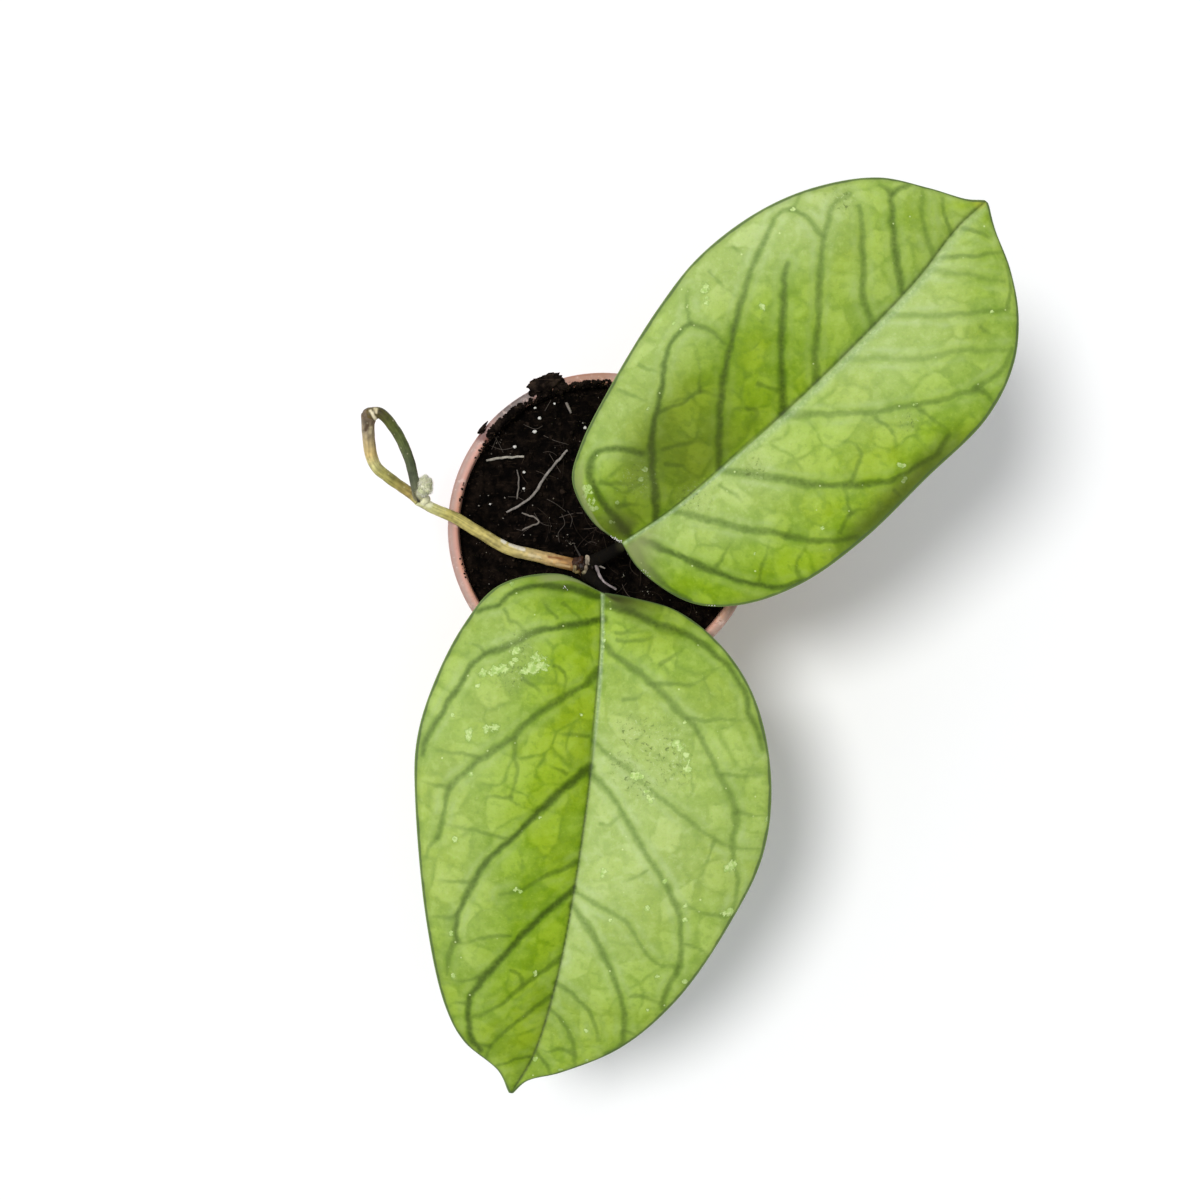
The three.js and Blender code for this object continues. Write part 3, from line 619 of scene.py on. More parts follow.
def spots(places, plan, ragged):
    """Round bumps exp(-0.7 * (distance / radius) squared), the highest one for each point, made ragged by
    hills."""
    flat = level(plan)
    total = np.zeros(len(plan))
    for along, across, radius in places:
        total = np.maximum(total, np.exp(-0.7 * ((plan - (along, across)) ** 2).sum(axis=1) / radius**2))
    return total * (1 + ragged * (hills(flat, 0.9, 21) + 0.6 * hills(flat, 2, 22)))


# %% Fields of painted sheen and painted shade


def painted_sheen_field(name, u, q):
    """Share of the painted sheen, 0 to 1: a pale milky reflection of the light, painted into the colour. It
    lies thick on the half that faces the light, next to the midrib, and thins towards the margin; on the
    other half it only comes near the margin and near the tip."""
    out = np.abs(q)
    if name == "leaf_upper":
        lit = (1 - 0.95 * eased(out, 0.05, 0.95)) * (0.72 + 0.28 * eased(u, 0.05, 0.3))
        lit = lit * (1 - 0.45 * eased(u, 0.7, 0.95)) + 0.3 * eased(u, 0.6, 0.75) * eased(out, 0.5, 0.9)
        lit = lit * (1 - 0.55 * np.exp(-((u - 0.45) / 0.13) ** 2))
        lit = lit + 0.26 * np.exp(-(out / 0.1) ** 2) * eased(u, 0.3, 0.45)
        dim = 0.78 * eased(out, 0.45, 0.9) * eased(u, 0.08, 0.25) + 0.4 * eased(u, 0.42, 0.72)
        dim = dim * (1 - 0.6 * eased(u, 0.68, 0.82) * eased(out, 0.2, 0.6))
        return np.clip(np.where(q < 0, lit, dim), 0, 1)
    lit = np.exp(-((u - 0.47) / 0.31) ** 2) * (1 - 0.5 * eased(out, 0.05, 0.85)) + 0.1 * eased(u, 0.1, 0.3)
    lit = lit + 0.25 * np.exp(-(out / 0.08) ** 2) * eased(u, 0.35, 0.5) * eased(-u, -0.85, -0.7)
    dim = 0.52 * eased(out, 0.25, 0.75) * eased(u, 0.08, 0.22) * (1 - 0.8 * eased(u, 0.6, 0.9)) + 0.04
    return np.clip(np.where(q > 0, lit, dim), 0, 1)


def shade_field(name, u, q):
    """Painted shade, 0 to 1, that darkens the flesh: near the stalk, on the deep half beside the midrib, on
    one margin and towards the lower leaf's tip."""
    if name == "leaf_upper":
        deep = 0.52 * np.exp(-((u - 0.23) / 0.19) ** 2) * eased(q, -0.02, 0.08) * (1 - eased(q, 0.5, 0.85))
        foot = 0.66 * np.exp(-((u - 0.045) / 0.05) ** 2) * eased(q, 0.05, 0.35)
        return foot + deep + 0.74 * np.exp(-((u - 0.5) / 0.13) ** 4) * eased(-q, 0.78, 0.97)
    foot = 1.15 * np.exp(-(u / 0.085) ** 2) * eased(q, 0.25, 0.7)
    foot = foot + 0.6 * np.exp(-(u / 0.09) ** 2) * eased(-q, 0.5, 0.9)
    return foot + 0.08 * eased(u, 0.55, 0.9) * eased(-q, -0.9, 0.1)


# %% [markdown]
# ## The leaves' finish
#
# A hoya leaf is thick and fleshy under a waxy skin. The colour lies in the flesh: bright yellow-green
# between the veins, deeper towards them, with a faint net of finer veins, pores and a thin olive margin. On
# the half that faces the light a pale milky sheen is painted into the colour: it veils the flesh and softens
# the veins. Shade is painted in too, near the stalks and beside the midrib. The underside is paler and dull.

# %% Leaf material


def leaf_material():
    """Fleshy waxy leaf, grown: flesh colour from noise; painted sheen, painted shade, veins, scars and margin
    from the mesh's numbers."""
    material, tree, place = new_material("waxy_leaf")
    broad = grain(tree, place, 20, 2)
    soft = grain(tree, place, 6, 3, 0.55)
    fine = grain(tree, place, 1.0, 3, 0.6)
    grit = grain(tree, place, 0.7, 5, 0.75)
    blots = grain(tree, place, 2.2, 2, 0.5, 0.2)
    patch, vein = stored(tree, "patch"), stored(tree, "vein")
    # Painted sheen: how much pale milky reflection is painted over the flesh, from the mesh, shaken a little
    # by noise
    sheen_share = number(tree, "ADD", stored(tree, "painted_sheen"), between(tree, soft, 0.25, 0.75, -0.1, 0.1))

    def toned(deep, sheened):
        """A colour that goes from its deep tone to its sheened tone as the painted sheen thickens."""
        return mixed(tree, sheen_share, deep, sheened)

    near = number(tree, "SUBTRACT", 1.0, stored(tree, "cell"))
    broken = number(tree, "MULTIPLY", stored(tree, "net"), between(tree, soft, 0.35, 0.65, 0.2, 0.65))
    halo = number(tree, "MULTIPLY", stored(tree, "halo"), between(tree, soft, 0.3, 0.7, 0.1, 0.5))
    ragged = number(tree, "MULTIPLY", vein, between(tree, fine, 0.25, 0.75, 0.8, 1.16))
    layers = [
        # from the flesh up to its veins: how much of the layer shows, its deep tone and its tone under the
        # painted sheen
        (between(tree, broad, 0.4, 0.65, 0, 0.5), "#97ac14", "#aec168"),
        (number(tree, "MULTIPLY", near, 0.36), "#5f8422", "#93ad60"),
        (between(tree, patch, 0.0, 1.0, 0, 0.4), "#a6c232", "#bccf86"),
        (between(tree, patch, 0.0, -1.0, 0, 0.42), "#648810", "#96af5c"),
        (broken, "#54780e", "#8aa452"),
        (number(tree, "MULTIPLY", stored(tree, "middle"), 0.25), "#9dba30", "#bacd88"),
        (between(tree, grit, 0.54, 0.72, 0, 0.36), "#527410", "#829c4c"),
        (between(tree, grit, 0.45, 0.3, 0, 0.3), "#acc93c", "#c9d99c"),
        (between(tree, blots, 0.52, 0.68, 0, 0.3), "#5f8410", "#8ca556"),
        (between(tree, blots, 0.48, 0.32, 0, 0.28), "#a2c030", "#c2d592"),
        (halo, "#8fab3c", "#b9cd90"),
        (between(tree, vein, 0.02, 0.4, 0, 0.45), "#55770c", "#87a252"),
        (between(tree, ragged, 0.1, 1.0, 0, 0.84), "#364c04", "#607c34"),
    ]
    flesh = toned(mixed(tree, between(tree, soft, 0.3, 0.7), "#80a200", "#94b614"), "#aec46c")
    for share, deep, sheened in layers:
        flesh = mixed(tree, share, flesh, toned(deep, sheened))

    # Pale specks in some cells of two fine patterns, the finer one only along veins; dark and pale sores
    # where the mesh has a patch of them
    along_veins = between(tree, vein, 0.15, 0.5)
    for size, share, where in ((4.6, 0.35, 1.0), (1.7, 0.14, along_veins)):
        inside = specks(tree, place, size, share, 0.14 / size, 0.34 / size, 0.75)
        flesh = mixed(tree, number(tree, "MULTIPLY", inside, where), flesh, "#cfe096")
    sore = grain(tree, place, 1.1, 4, 0.75, 0.4)
    dark_marks = number(tree, "MULTIPLY", between(tree, sore, 0.55, 0.66, 0, 0.85), stored(tree, "pores"))
    pale_marks = number(tree, "MULTIPLY", between(tree, sore, 0.42, 0.34, 0, 0.7), stored(tree, "pores"))
    flesh = mixed(tree, number(tree, "MULTIPLY", stored(tree, "pores"), 0.25), flesh, "#90a25c")
    flesh = mixed(tree, pale_marks, flesh, "#bccf8e")
    flesh = mixed(tree, dark_marks, flesh, "#5c6e30")

    flaky = between(tree, grain(tree, place, 0.9, 4, 0.7), 0.3, 0.7, -0.3, 0.3)
    scar = number(tree, "ADD", stored(tree, "scar"), flaky)
    flesh = mixed(tree, between(tree, scar, 0.2, 0.45, 0, 0.45), flesh, toned("#6a8a2c", "#869f58"))
    crust = mixed(tree, between(tree, fine, 0.35, 0.65), "#a0bf62", "#c6db8e")
    flesh = mixed(tree, between(tree, scar, 0.44, 0.58), flesh, crust)
    # Painted shade: darkens the flesh where the mesh's shade field says
    flesh = mixed(tree, stored(tree, "shade"), flesh, "#3c4216")
    # An olive tint at the upper leaf's base, and painted sheen: a pale grey-green band on the rolled margin
    # near each leaf's base
    flesh = mixed(tree, between(tree, stored(tree, "olive_base_and_rim_sheen"), 0.1, 0.9, 0, 0.85), flesh, "#8b945e")
    flesh = mixed(tree, stored(tree, "ripe"), flesh, "#c3cb3c")
    # The pale raised midrib near the stalk, and on the upper leaf a painted sheen along the lit side of the
    # midrib
    silver = mixed(tree, between(tree, fine, 0.4, 0.7), "#8fa878", "#bccf9c")
    flesh = mixed(tree, stored(tree, "pale_rib_and_sheen"), flesh, silver)
    # Painted shade: a dark line in the furrow beside the midrib, on its shaded side
    furrow_shade_line = number(tree, "MULTIPLY", stored(tree, "furrow_shade"), between(tree, fine, 0.25, 0.75, 0.6, 1.05))
    flesh = mixed(tree, furrow_shade_line, flesh, mixed(tree, between(tree, soft, 0.4, 0.6), "#35481c", "#475230"))
    margin = number(tree, "ADD", stored(tree, "edge"), between(tree, soft, 0.2, 0.8, -0.2, 0.25))
    flesh = mixed(tree, between(tree, margin, 0.1, 0.6, 0.85, 0), flesh, "#44543a")
    flesh = mixed(tree, between(tree, margin, 0.3, 1.8, 0.3, 0), flesh, "#5c7430")

    under = mixed(tree, between(tree, soft, 0.3, 0.7), "#8fae58", "#9fba6c")
    under = mixed(tree, between(tree, vein, 0.1, 0.9, 0, 0.6), under, "#7a9a4a")
    colour = mixed(tree, stored(tree, "underside"), flesh, under)

    dull = number(tree, "MULTIPLY_ADD", sheen_share, 0.12, between(tree, soft, 0.2, 0.8, 0.44, 0.52))
    finest = number(tree, "MULTIPLY", grain(tree, place, 0.35, 2), 0.3)
    relief = number(tree, "MULTIPLY_ADD", fine, 0.35, finest)
    return finished(material, {
        "Base Color": colour, "Roughness": dull, "IOR": 1.45, "Specular IOR Level": 0.2,
        "Subsurface Weight": 0.05, "Subsurface Radius": (0.4, 0.9, 0.15), "Subsurface Scale": 0.001},
        relief, strength=0.2, depth=0.25)


WAXY_LEAF = leaf_material()

# %% [markdown]
# ## Building a leaf
#
# The blade's grid goes once round the leaf: over the upper face, round the left margin, back along the
# underside and round the right margin. Rows stand closer than half a millimetre, so a vein of one
# millimetre is real relief: a shallow groove above, a low ridge below, and the flesh between the veins
# swells a little.

# %% Leaf blades
LEAF_ROWS = 300
UPPER_COLUMNS = 111            # points from the midrib to a margin, both included, on the upper face
LOWER_COLUMNS = 31
RIM_STEPS = 5
FIRST_ROW, LAST_ROW = 0.0015, 0.9985                    # shares of the length; the end points close the blade
CELL_REACH = 3.0               # the flesh is at full height this far from a side vein
HALO_AT, HALO_WIDTH = 2.0, 0.75                         # a pale line in the flesh beside each side vein
CELL_SWELL, MIDDLE_SWELL = 0.2, 0.08                    # how high the flesh stands between veins, in mm
VEIN_GROOVE, VEIN_RIDGE = 0.12, 0.2                     # depth of a vein above, and its height below, in mm
RIM_UNDERSIDE = 0.35           # how much of the underside's colour the rounded margin shows
SHADED_SIDE = {"leaf_upper": 1, "leaf_lower": -1}       # the deep half: 1 is to the left of the midrib


def spread(count):
    """Shares from -1 to 1 that stand closer near 0, where the midrib needs them: s * |s| ** 0.15."""
    s = np.linspace(-1, 1, 2 * count - 1)
    return s * np.abs(s) ** 0.15


def midrib_fields(name, plan, from_midrib, side_of):
    """How pale the raised midrib is, and how dark the painted shade in the furrow beside it. The midrib is
    raised and pale near the stalk; further out it sinks in, the furrow takes its place, and a painted sheen
    silvers the upper leaf's lit side of it."""
    along = plan[..., 0]
    apart = from_midrib * side_of * SHADED_SIDE[name]
    raised = 1 - eased(along, 28, 50)
    pale_rib_and_sheen = 0.75 * np.exp(-((apart + 0.1) / 0.55) ** 2) * raised
    furrow_shade = 0.75 * np.exp(-((apart - 0.7) / 0.3) ** 2) * raised * eased(along, 1, 6)
    if name == "leaf_upper":
        silver = 0.5 * np.exp(-((apart + 1.1) / 1.0) ** 2) * (1 - 0.5 * eased(along, 90, 115))
        pale_rib_and_sheen = pale_rib_and_sheen + silver * (1 - raised)
        furrow_shade = furrow_shade + 0.72 * np.exp(-((apart - 0.2) / 0.5) ** 2) * (1 - raised)
    else:
        furrow_shade = furrow_shade + 0.85 * np.exp(-(apart / 0.42) ** 2) * (1 - raised)
    return pale_rib_and_sheen, furrow_shade


# %% One blade


def blade(name, leaf):
    """One closed blade with its numbers for each point."""
    u = np.linspace(FIRST_ROW, LAST_ROW, LEAF_ROWS)
    faces_of = []
    for side, columns in ((1, UPPER_COLUMNS), (-1, LOWER_COLUMNS)):
        q = spread(columns)[::side]
        plan, height, from_midrib, half_width = leaf_surface(leaf, u, q)
        flat_plan, shape = plan.reshape(-1, 2), height.shape
        vein, nearest = (field.reshape(shape) for field in vein_fields(name, flat_plan))
        net, middle, tone = (field.reshape(shape) for field in net_fields(flat_plan))
        cell = 1 - np.exp(-(nearest / CELL_REACH) ** 2)
        halo = np.exp(-((nearest - HALO_AT) / HALO_WIDTH) ** 2) * (1 - vein)
        cell *= 1 - 0.8 * np.exp(-(from_midrib / 2.5) ** 2)
        to_margin = (1 - np.abs(q))[None, :] * half_width
        calm = eased(to_margin, 0, 3) * eased(u * (1 - u), 0, 0.03)[:, None]
        rows, turns = np.broadcast_arrays(u[:, None], q[None, :])
        pale_rib_and_sheen, furrow_shade = midrib_fields(name, plan, from_midrib, np.sign(turns))
        if side > 0:
            groove = 0.42 * np.exp(-(from_midrib / 0.9) ** 2) * (1 - 0.5 * rows)
            ridge = 0.5 * np.exp(-(from_midrib / 0.5) ** 2) * (1 - eased(plan[..., 0], 25, 50))
            relief = CELL_SWELL * cell + MIDDLE_SWELL * middle - VEIN_GROOVE * vein
            height = height + calm * relief - groove + ridge
        else:
            keel = KEEL_DEPTH * (1 - 0.8 * rows) * np.exp(-(from_midrib / KEEL_WIDTH) ** 2)
            thick = BLADE_MIDDLE + (BLADE_MARGIN - BLADE_MIDDLE) * turns**2
            height = height - thick - keel - calm * VEIN_RIDGE * vein
        ripe = np.zeros(shape)
        # An olive tint at the upper leaf's base, and painted sheen on the rolled margin near each leaf's
        # base, where it catches the light
        if name == "leaf_upper":
            olive_base_and_rim_sheen = np.exp(-(rows / 0.085) ** 2) * eased(-plan[..., 1], -1, 3)
            olive_base_and_rim_sheen = olive_base_and_rim_sheen + 0.75 * eased(turns, 0.86, 0.93) * eased(-rows, -0.2, -0.12)
            ripe = 0.85 * eased(plan[..., 0], 116.5, 119.5) * eased(plan[..., 1], -1.5, 0.5)
        else:
            olive_base_and_rim_sheen = 0.8 * eased(-turns, 0.84, 0.92) * eased(-rows, -0.14, -0.08)
        faces_of.append({
            "points": np.dstack([plan, height]), "vein": vein, "halo": halo, "cell": cell, "net": net * cell,
            "middle": middle * cell, "patch": tone, "edge": to_margin, "pale_rib_and_sheen": pale_rib_and_sheen, "furrow_shade": furrow_shade,
            "olive_base_and_rim_sheen": np.clip(olive_base_and_rim_sheen, 0, 1), "ripe": ripe,
            "scar": spots(SCARS[name], flat_plan, 0.42).reshape(shape),
            "pores": np.clip(spots(PORE_PATCHES[name], flat_plan, 0.1).reshape(shape) * 1.4, 0, 1),
            "painted_sheen": painted_sheen_field(name, rows, turns), "shade": np.clip(shade_field(name, rows, turns), 0, 1),
            "underside": np.full(shape, float(side < 0))})
    upper, lower = faces_of

    def rim(start, end, outward):
        """Half a circle between the margin's upper and lower point, bulging outward."""
        angle = (np.arange(1, RIM_STEPS) / RIM_STEPS * np.pi)[None, :, None]
        middle, reach = (start + end)[:, None] / 2, (start - end)[:, None] / 2
        bulge = np.linalg.norm(reach, axis=2)[..., None] * outward[:, None]
        return middle + reach * np.cos(angle) + bulge * np.sin(angle)

    span = upper["points"][:, -1] - upper["points"][:, 0]
    span[:, 2] = 0
    span /= np.linalg.norm(span, axis=1)[:, None]
    columns = {key: [upper[key], None, lower[key], None] for key in upper}
    columns["points"][1] = rim(upper["points"][:, -1], lower["points"][:, 0], span)
    columns["points"][3] = rim(lower["points"][:, -1], upper["points"][:, 0], -span)
    for key in columns:
        if key != "points":
            edge = RIM_UNDERSIDE if key == "underside" else 0.0
            columns[key][1] = columns[key][3] = np.full((LEAF_ROWS, RIM_STEPS - 1), edge)
    rings = in_place(leaf, np.concatenate(columns.pop("points"), axis=1))
    points, faces = closed_tube(rings)
    values = {}
    for key, blocks in columns.items():
        field = np.concatenate(blocks, axis=1)
        values[key] = np.concatenate([field.ravel(), [field[0].mean(), field[-1].mean()]])
    return points, faces, values


for leaf_name, leaf in LEAVES.items():
    blade_points, blade_faces, blade_values = blade(leaf_name, leaf)
    make_piece(f"{leaf_name}_blade", blade_points, blade_faces, WAXY_LEAF, "leaf", (leaf_name,), blade_values)

# %% [markdown]
# ## The leaves' stalks
#
# Each leaf stands on a short thick stalk that comes out of the crown, bends up and runs out as the keel
# below the midrib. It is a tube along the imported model's own line, swollen at its foot and slightly again
# halfway.

# %% Stalks
STALK_RADIUS = 1.9
STALK_END_RADIUS = 1.1
STALK_BELOW_FACE = 1.7
STALK_IN_KEEL = 7
STALK_SIDES = 28
# Share of the way from the crown, and tone there: near black, which is painted shade, for the stalks lie in
# deep shade under the leaves; green only where it enters the keel
STALK_TONES = [(0, "#17130f"), (0.3, "#12100d"), (0.55, "#0e0c0a"), (0.7, "#3a3a24"), (1, "#8ba45c")]


def stem_material(name, roughness, shine, pores):
    """Plant skin with its colours held by the mesh: fine wrinkles, and small pale breathing pores as strong
    as asked."""
    material, tree, place = new_material(name)
    tint = stored(tree, "tint", "Color")
    mottle = grain(tree, place, 1.4, 4, 0.6)
    darker = mixed(tree, 0.5, tint, "#2e2413")
    colour = mixed(tree, between(tree, mottle, 0.5, 0.75, 0, 0.55), tint, darker)
    colour = mixed(tree, specks(tree, place, 1.7, 0.45, 0.08, 0.2, pores), colour, "#d8cfa6")
    relief = number(tree, "ADD", grain(tree, place, 0.5, 3, 0.6), mottle)
    return finished(material, {
        "Base Color": colour, "Roughness": roughness, "IOR": 1.45, "Specular IOR Level": shine,
        "Subsurface Weight": 0.05, "Subsurface Radius": (0.5, 0.5, 0.2), "Subsurface Scale": 0.0008},
        relief, strength=0.4, depth=0.2)


STEM_SKIN = stem_material("green_stem_skin", 0.5, 0.35, 0.35)
# Near-black, dull skin for the stalks: painted shade
STALK_SKIN = stem_material("shade_black_stalk_skin", 0.85, 0.05, 0.0)


def tints(shares, stops):
    """Colour for each share of a line: a straight blend, in linear light, between stops (share, hex)."""
    where = [share for share, _ in stops]
    channels = np.array([linear(tone) for _, tone in stops])
    return np.stack([np.interp(shares, where, channel) for channel in channels.T], axis=1)


def tube_values(colours, sides):
    """Each ring's colour for all of its points, and for the two end points of a closed tube."""
    return {"tint": np.vstack([np.repeat(colours, sides, axis=0), colours[0], colours[-1]])}


def stalk(leaf):
    """Points, faces and colours of one stalk: a tube from the crown to the base and on inside the keel."""
    length = leaf["midrib"][-1][0]

    def under_face(along, across):
        local = np.array([[along, across, midrib_rise(leaf, along / length) - STALK_BELOW_FACE]])
        return in_place(leaf, local)[0]

    in_step, in_span = leaf["midrib"][1]
    start, at_base = np.array(leaf["foot"], float), under_face(-1.5, 0)
    arch = (start + at_base) / 2
    arch[2] += 1
    in_keel = under_face(STALK_IN_KEEL, STALK_IN_KEEL * in_span / in_step)
    shares = np.linspace(0, 1, 60)
    line = smooth_line([start, arch, at_base, in_keel], shares)
    radii = STALK_RADIUS + (STALK_END_RADIUS - STALK_RADIUS) * shares
    radii = radii + 0.25 * np.exp(-(shares / 0.08) ** 2) + 0.12 * np.exp(-((shares - 0.55) / 0.06) ** 2)
    rings = tube_rings(line, radii, STALK_SIDES, (1, 0.2, 0))
    flat = rings.reshape(-1, 3)
    centre = np.repeat(line, STALK_SIDES, axis=0)
    wrinkle = 1 + 0.05 * hills(flat * (1, 1, 0.35), 0.8, 31)
    rings = (centre + (flat - centre) * wrinkle[:, None]).reshape(rings.shape)
    points, faces = closed_tube(rings)
    return points, faces, tube_values(tints(shares, STALK_TONES), STALK_SIDES)


for leaf_name, leaf in LEAVES.items():
    stalk_points, stalk_faces, stalk_values = stalk(leaf)
    make_piece(f"{leaf_name}_stalk", stalk_points, stalk_faces, STALK_SKIN, "stem", (leaf_name,),
               stalk_values)

# %% [markdown]
# ## The vine
#
# The cutting's own stem: a woody foot in the soil, a swollen crown, and the shoot, which passes over the
# rim, bends at a first node beside the pot, climbs to a second and comes back dark green. Its colour runs
# from brown at the soil over olive-yellow to green, so each run has its own list of colour stops along it.

# %% The vine's runs
CROWN = [-4.6, -10.1, 67.4]
ELBOW = [-46.9, 7.2, 76]
FAR_NODE = [-58.5, 27.7, 87]
VINE_SIDES = 32
VINE_ROW = 0.32                # mm from ring to ring
VINE_RUNS = [
    {
        "points": [(-3.6, -10.6, 38), (-3.9, -10.5, 56), CROWN],
        "radii": (2.0, 2.0),
        "swelling": (0.0, 0.5),
        "reference": (1, 0.2, 0),
        "stops": [(0, "#4a3826"), (1, "#6b4a2a")],
    },
    {
        "points": [CROWN, (-10, -8.9, 68.2), (-17.2, -7.1, 69.3), (-24.4, -5.3, 70.4), (-32.5, -0.7, 71.9),
                   (-37.8, 2.5, 72.7), (-44.2, 5.3, 74.6), ELBOW],
        "radii": (1.7, 1.38),
        "swelling": (0.6, 0.35),
        "reference": (0, 0, 1),
        "stops": [(0, "#4e3019"), (0.05, "#6e4826"), (0.12, "#a67c48"), (0.2, "#c0a06c"), (0.32, "#bda870"),
                  (0.42, "#b8a868"), (0.62, "#b2a45e"), (0.82, "#aca25a"), (0.93, "#c4c282"), (1, "#dcdaa4")],
    },
    {
        "points": [ELBOW, (-54.6, 12.7, 77.6), (-57.4, 15.2, 79), (-58.6, 18.1, 81), (-58.9, 25.4, 85.6),
                   FAR_NODE],
        "radii": (1.3, 1.68),
        "swelling": (0.35, 0.35),
        "reference": (0, 0, 1),
        "stops": [(0, "#b4ac68"), (0.1, "#9c8848"), (0.3, "#8a8442"), (0.42, "#b0aa60"), (0.52, "#d2cc88"),
                  (0.63, "#ccb474"), (0.74, "#b4a070"), (0.86, "#96886c"), (1, "#6c5b44")],
    },
    {
        "points": [FAR_NODE, (-55.8, 28.2, 87.6), (-51.9, 23.8, 86.2), (-48.9, 17.2, 83.4),
                   (-47.5, 10.8, 80.9), (-47.2, 8.7, 79.7), (-47.1, 7.5, 78)],
        "radii": (1.42, 1.2),
        "swelling": (0.5, 0.0),
        "reference": (0, 0, 1),
        "stops": [(0, "#5c4c28"), (0.1, "#453f1a"), (0.22, "#535a22"), (0.4, "#566030"), (0.55, "#535c38"),
                  (0.75, "#505640"), (0.88, "#5c5e46"), (0.95, "#7a7448"), (1, "#948a54")],
    },
]


# %% Shapes of the vine


def vine_run(run, seed):
    """One run: a tube whose radius goes evenly from its first to its last value, swells near both ends like a
    node, exp(-(distance / 1.6 mm) squared), and is wrinkled lengthwise by random hills."""
    rows = int(line_length(run["points"]) / VINE_ROW)
    shares = np.linspace(0, 1, rows)
    line = smooth_line(run["points"], shares)
    distance = shares * line_length(line)
    start, end = run["radii"]
    radii = start + (end - start) * shares
    for size, apart in zip(run["swelling"], (distance, distance[::-1])):
        radii = radii + size * np.exp(-(apart / 1.6) ** 2)
    rings = tube_rings(line, radii, VINE_SIDES, run["reference"])
    flat, centre = rings.reshape(-1, 3), np.repeat(line, VINE_SIDES, axis=0)
    angle = np.tile(np.arange(VINE_SIDES) * 2 * np.pi / VINE_SIDES, rows)
    lengthwise = np.column_stack([np.cos(angle) * 3, np.sin(angle) * 3, np.repeat(distance, VINE_SIDES) / 5])
    wrinkle = 1 + 0.035 * hills(lengthwise, 0.9, seed) + 0.05 * hills(flat, 1.6, seed + 1)
    flat = centre + (flat - centre) * wrinkle[:, None]
    points, faces = closed_tube(flat.reshape(rings.shape))
    # Painted shade: the colour is darker on the underside and flanks of the shoot and lighter on its top, by
    # how far each point faces up; lengthwise streaks are laid over it
    up = (flat - centre)[:, 2] / np.linalg.norm(flat - centre, axis=1)
    streaks_and_underside_shade = 0.86 + 0.24 * up + 0.4 * hills(lengthwise * (1.6, 1.6, 1.5), 0.9, seed + 5)
    streaks_and_underside_shade = np.clip(streaks_and_underside_shade + 0.3 * hills(flat, 0.7, seed + 6), 0.2, 1.45)
    colours = tube_values(tints(shares, run["stops"]), VINE_SIDES)["tint"]
    colours[:-2, :3] *= streaks_and_underside_shade[:, None]
    return points, faces, colours


def ball(rows, columns):
    """Rings of a unit sphere from its lower to its upper pole, poles left out for closed_tube to close."""
    rise = (np.arange(rows) + 0.5) / rows * np.pi - np.pi / 2
    angle = np.arange(columns) * 2 * np.pi / columns
    flat = np.cos(rise)[:, None]
    height = np.broadcast_to(np.sin(rise)[:, None], (rows, columns))
    return np.dstack([flat * np.cos(angle), flat * np.sin(angle), height])


def lump(centre, radii, rows, columns, seed, ragged=0.2, size=1.0):
    """A round lump: unit sphere, times its three radii, times 1 + ragged * random hills of that size."""
    sphere = ball(rows, columns)
    shape = 1 + ragged * hills(sphere.reshape(-1, 3) * np.mean(radii), size, seed).reshape(rows, columns, 1)
    return closed_tube(sphere * shape * radii + centre)


KNOB_GRID = (18, 26)
ROOTLET_ROWS = 30
ROOTLET_SIDES = 12
# Small knobs on the crown: centre, radii and colour of old leaf scars and callus
CROWN_KNOBS = [
    ([-4.2, -10.0, 68.0], (2.2, 2.3, 1.7), "#2a1a10"), ([-6.7, -9.1, 69.0], (1.4, 1.5, 1.1), "#3c2415"),
    ([-5.7, -8.3, 69.5], (0.8, 1.1, 0.7), "#3a2012"), ([-5.4, -9.9, 69.7], (0.9, 1.2, 0.7), "#28170d"),
    ([-4.0, -8.3, 70.4], (0.62, 1.35, 0.6), "#a2947e"), ([-4.3, -10.2, 70.4], (0.55, 0.9, 0.55), "#7a6c58"),
    ([-4.6, -11.4, 70.1], (0.9, 0.6, 0.55), "#978b6c"), ([-7.3, -10.3, 69.5], (0.6, 1.2, 0.6), "#8d7b55"),
    ([-6.6, -11.3, 69.4], (0.7, 0.5, 0.5), "#78683f"), ([-2.8, -9.4, 70.1], (0.5, 1.2, 0.6), "#241a16"),
]
# The thickened nodes where two runs of the shoot meet: middle, radius and colour
NODES = [(FAR_NODE, 1.86, "#7a6850"), ([-45.7, 7.1, 76.1], 1.7, "#f0eec4")]
ROOTLETS = [
    # radius, tone, route
    (0.38, "#9a8e8c", [(-2.0, -8.9, 70.8), (-1.5, -10.6, 72), (-0.8, -12.4, 73.2), (0.3, -13.9, 73.9),
                       (1.8, -14.9, 73.6), (3.4, -15.8, 73.2)]),
    (0.24, "#857d74", [(-1.6, -9.6, 70.6), (-0.6, -9.9, 71.3), (0.5, -10.4, 71.4)]),
    (0.3, "#2c241e", [(-4.6, -9.4, 68.4), (-6.2, -6.6, 68.2), (-7.4, -4.4, 67.9)]),
]
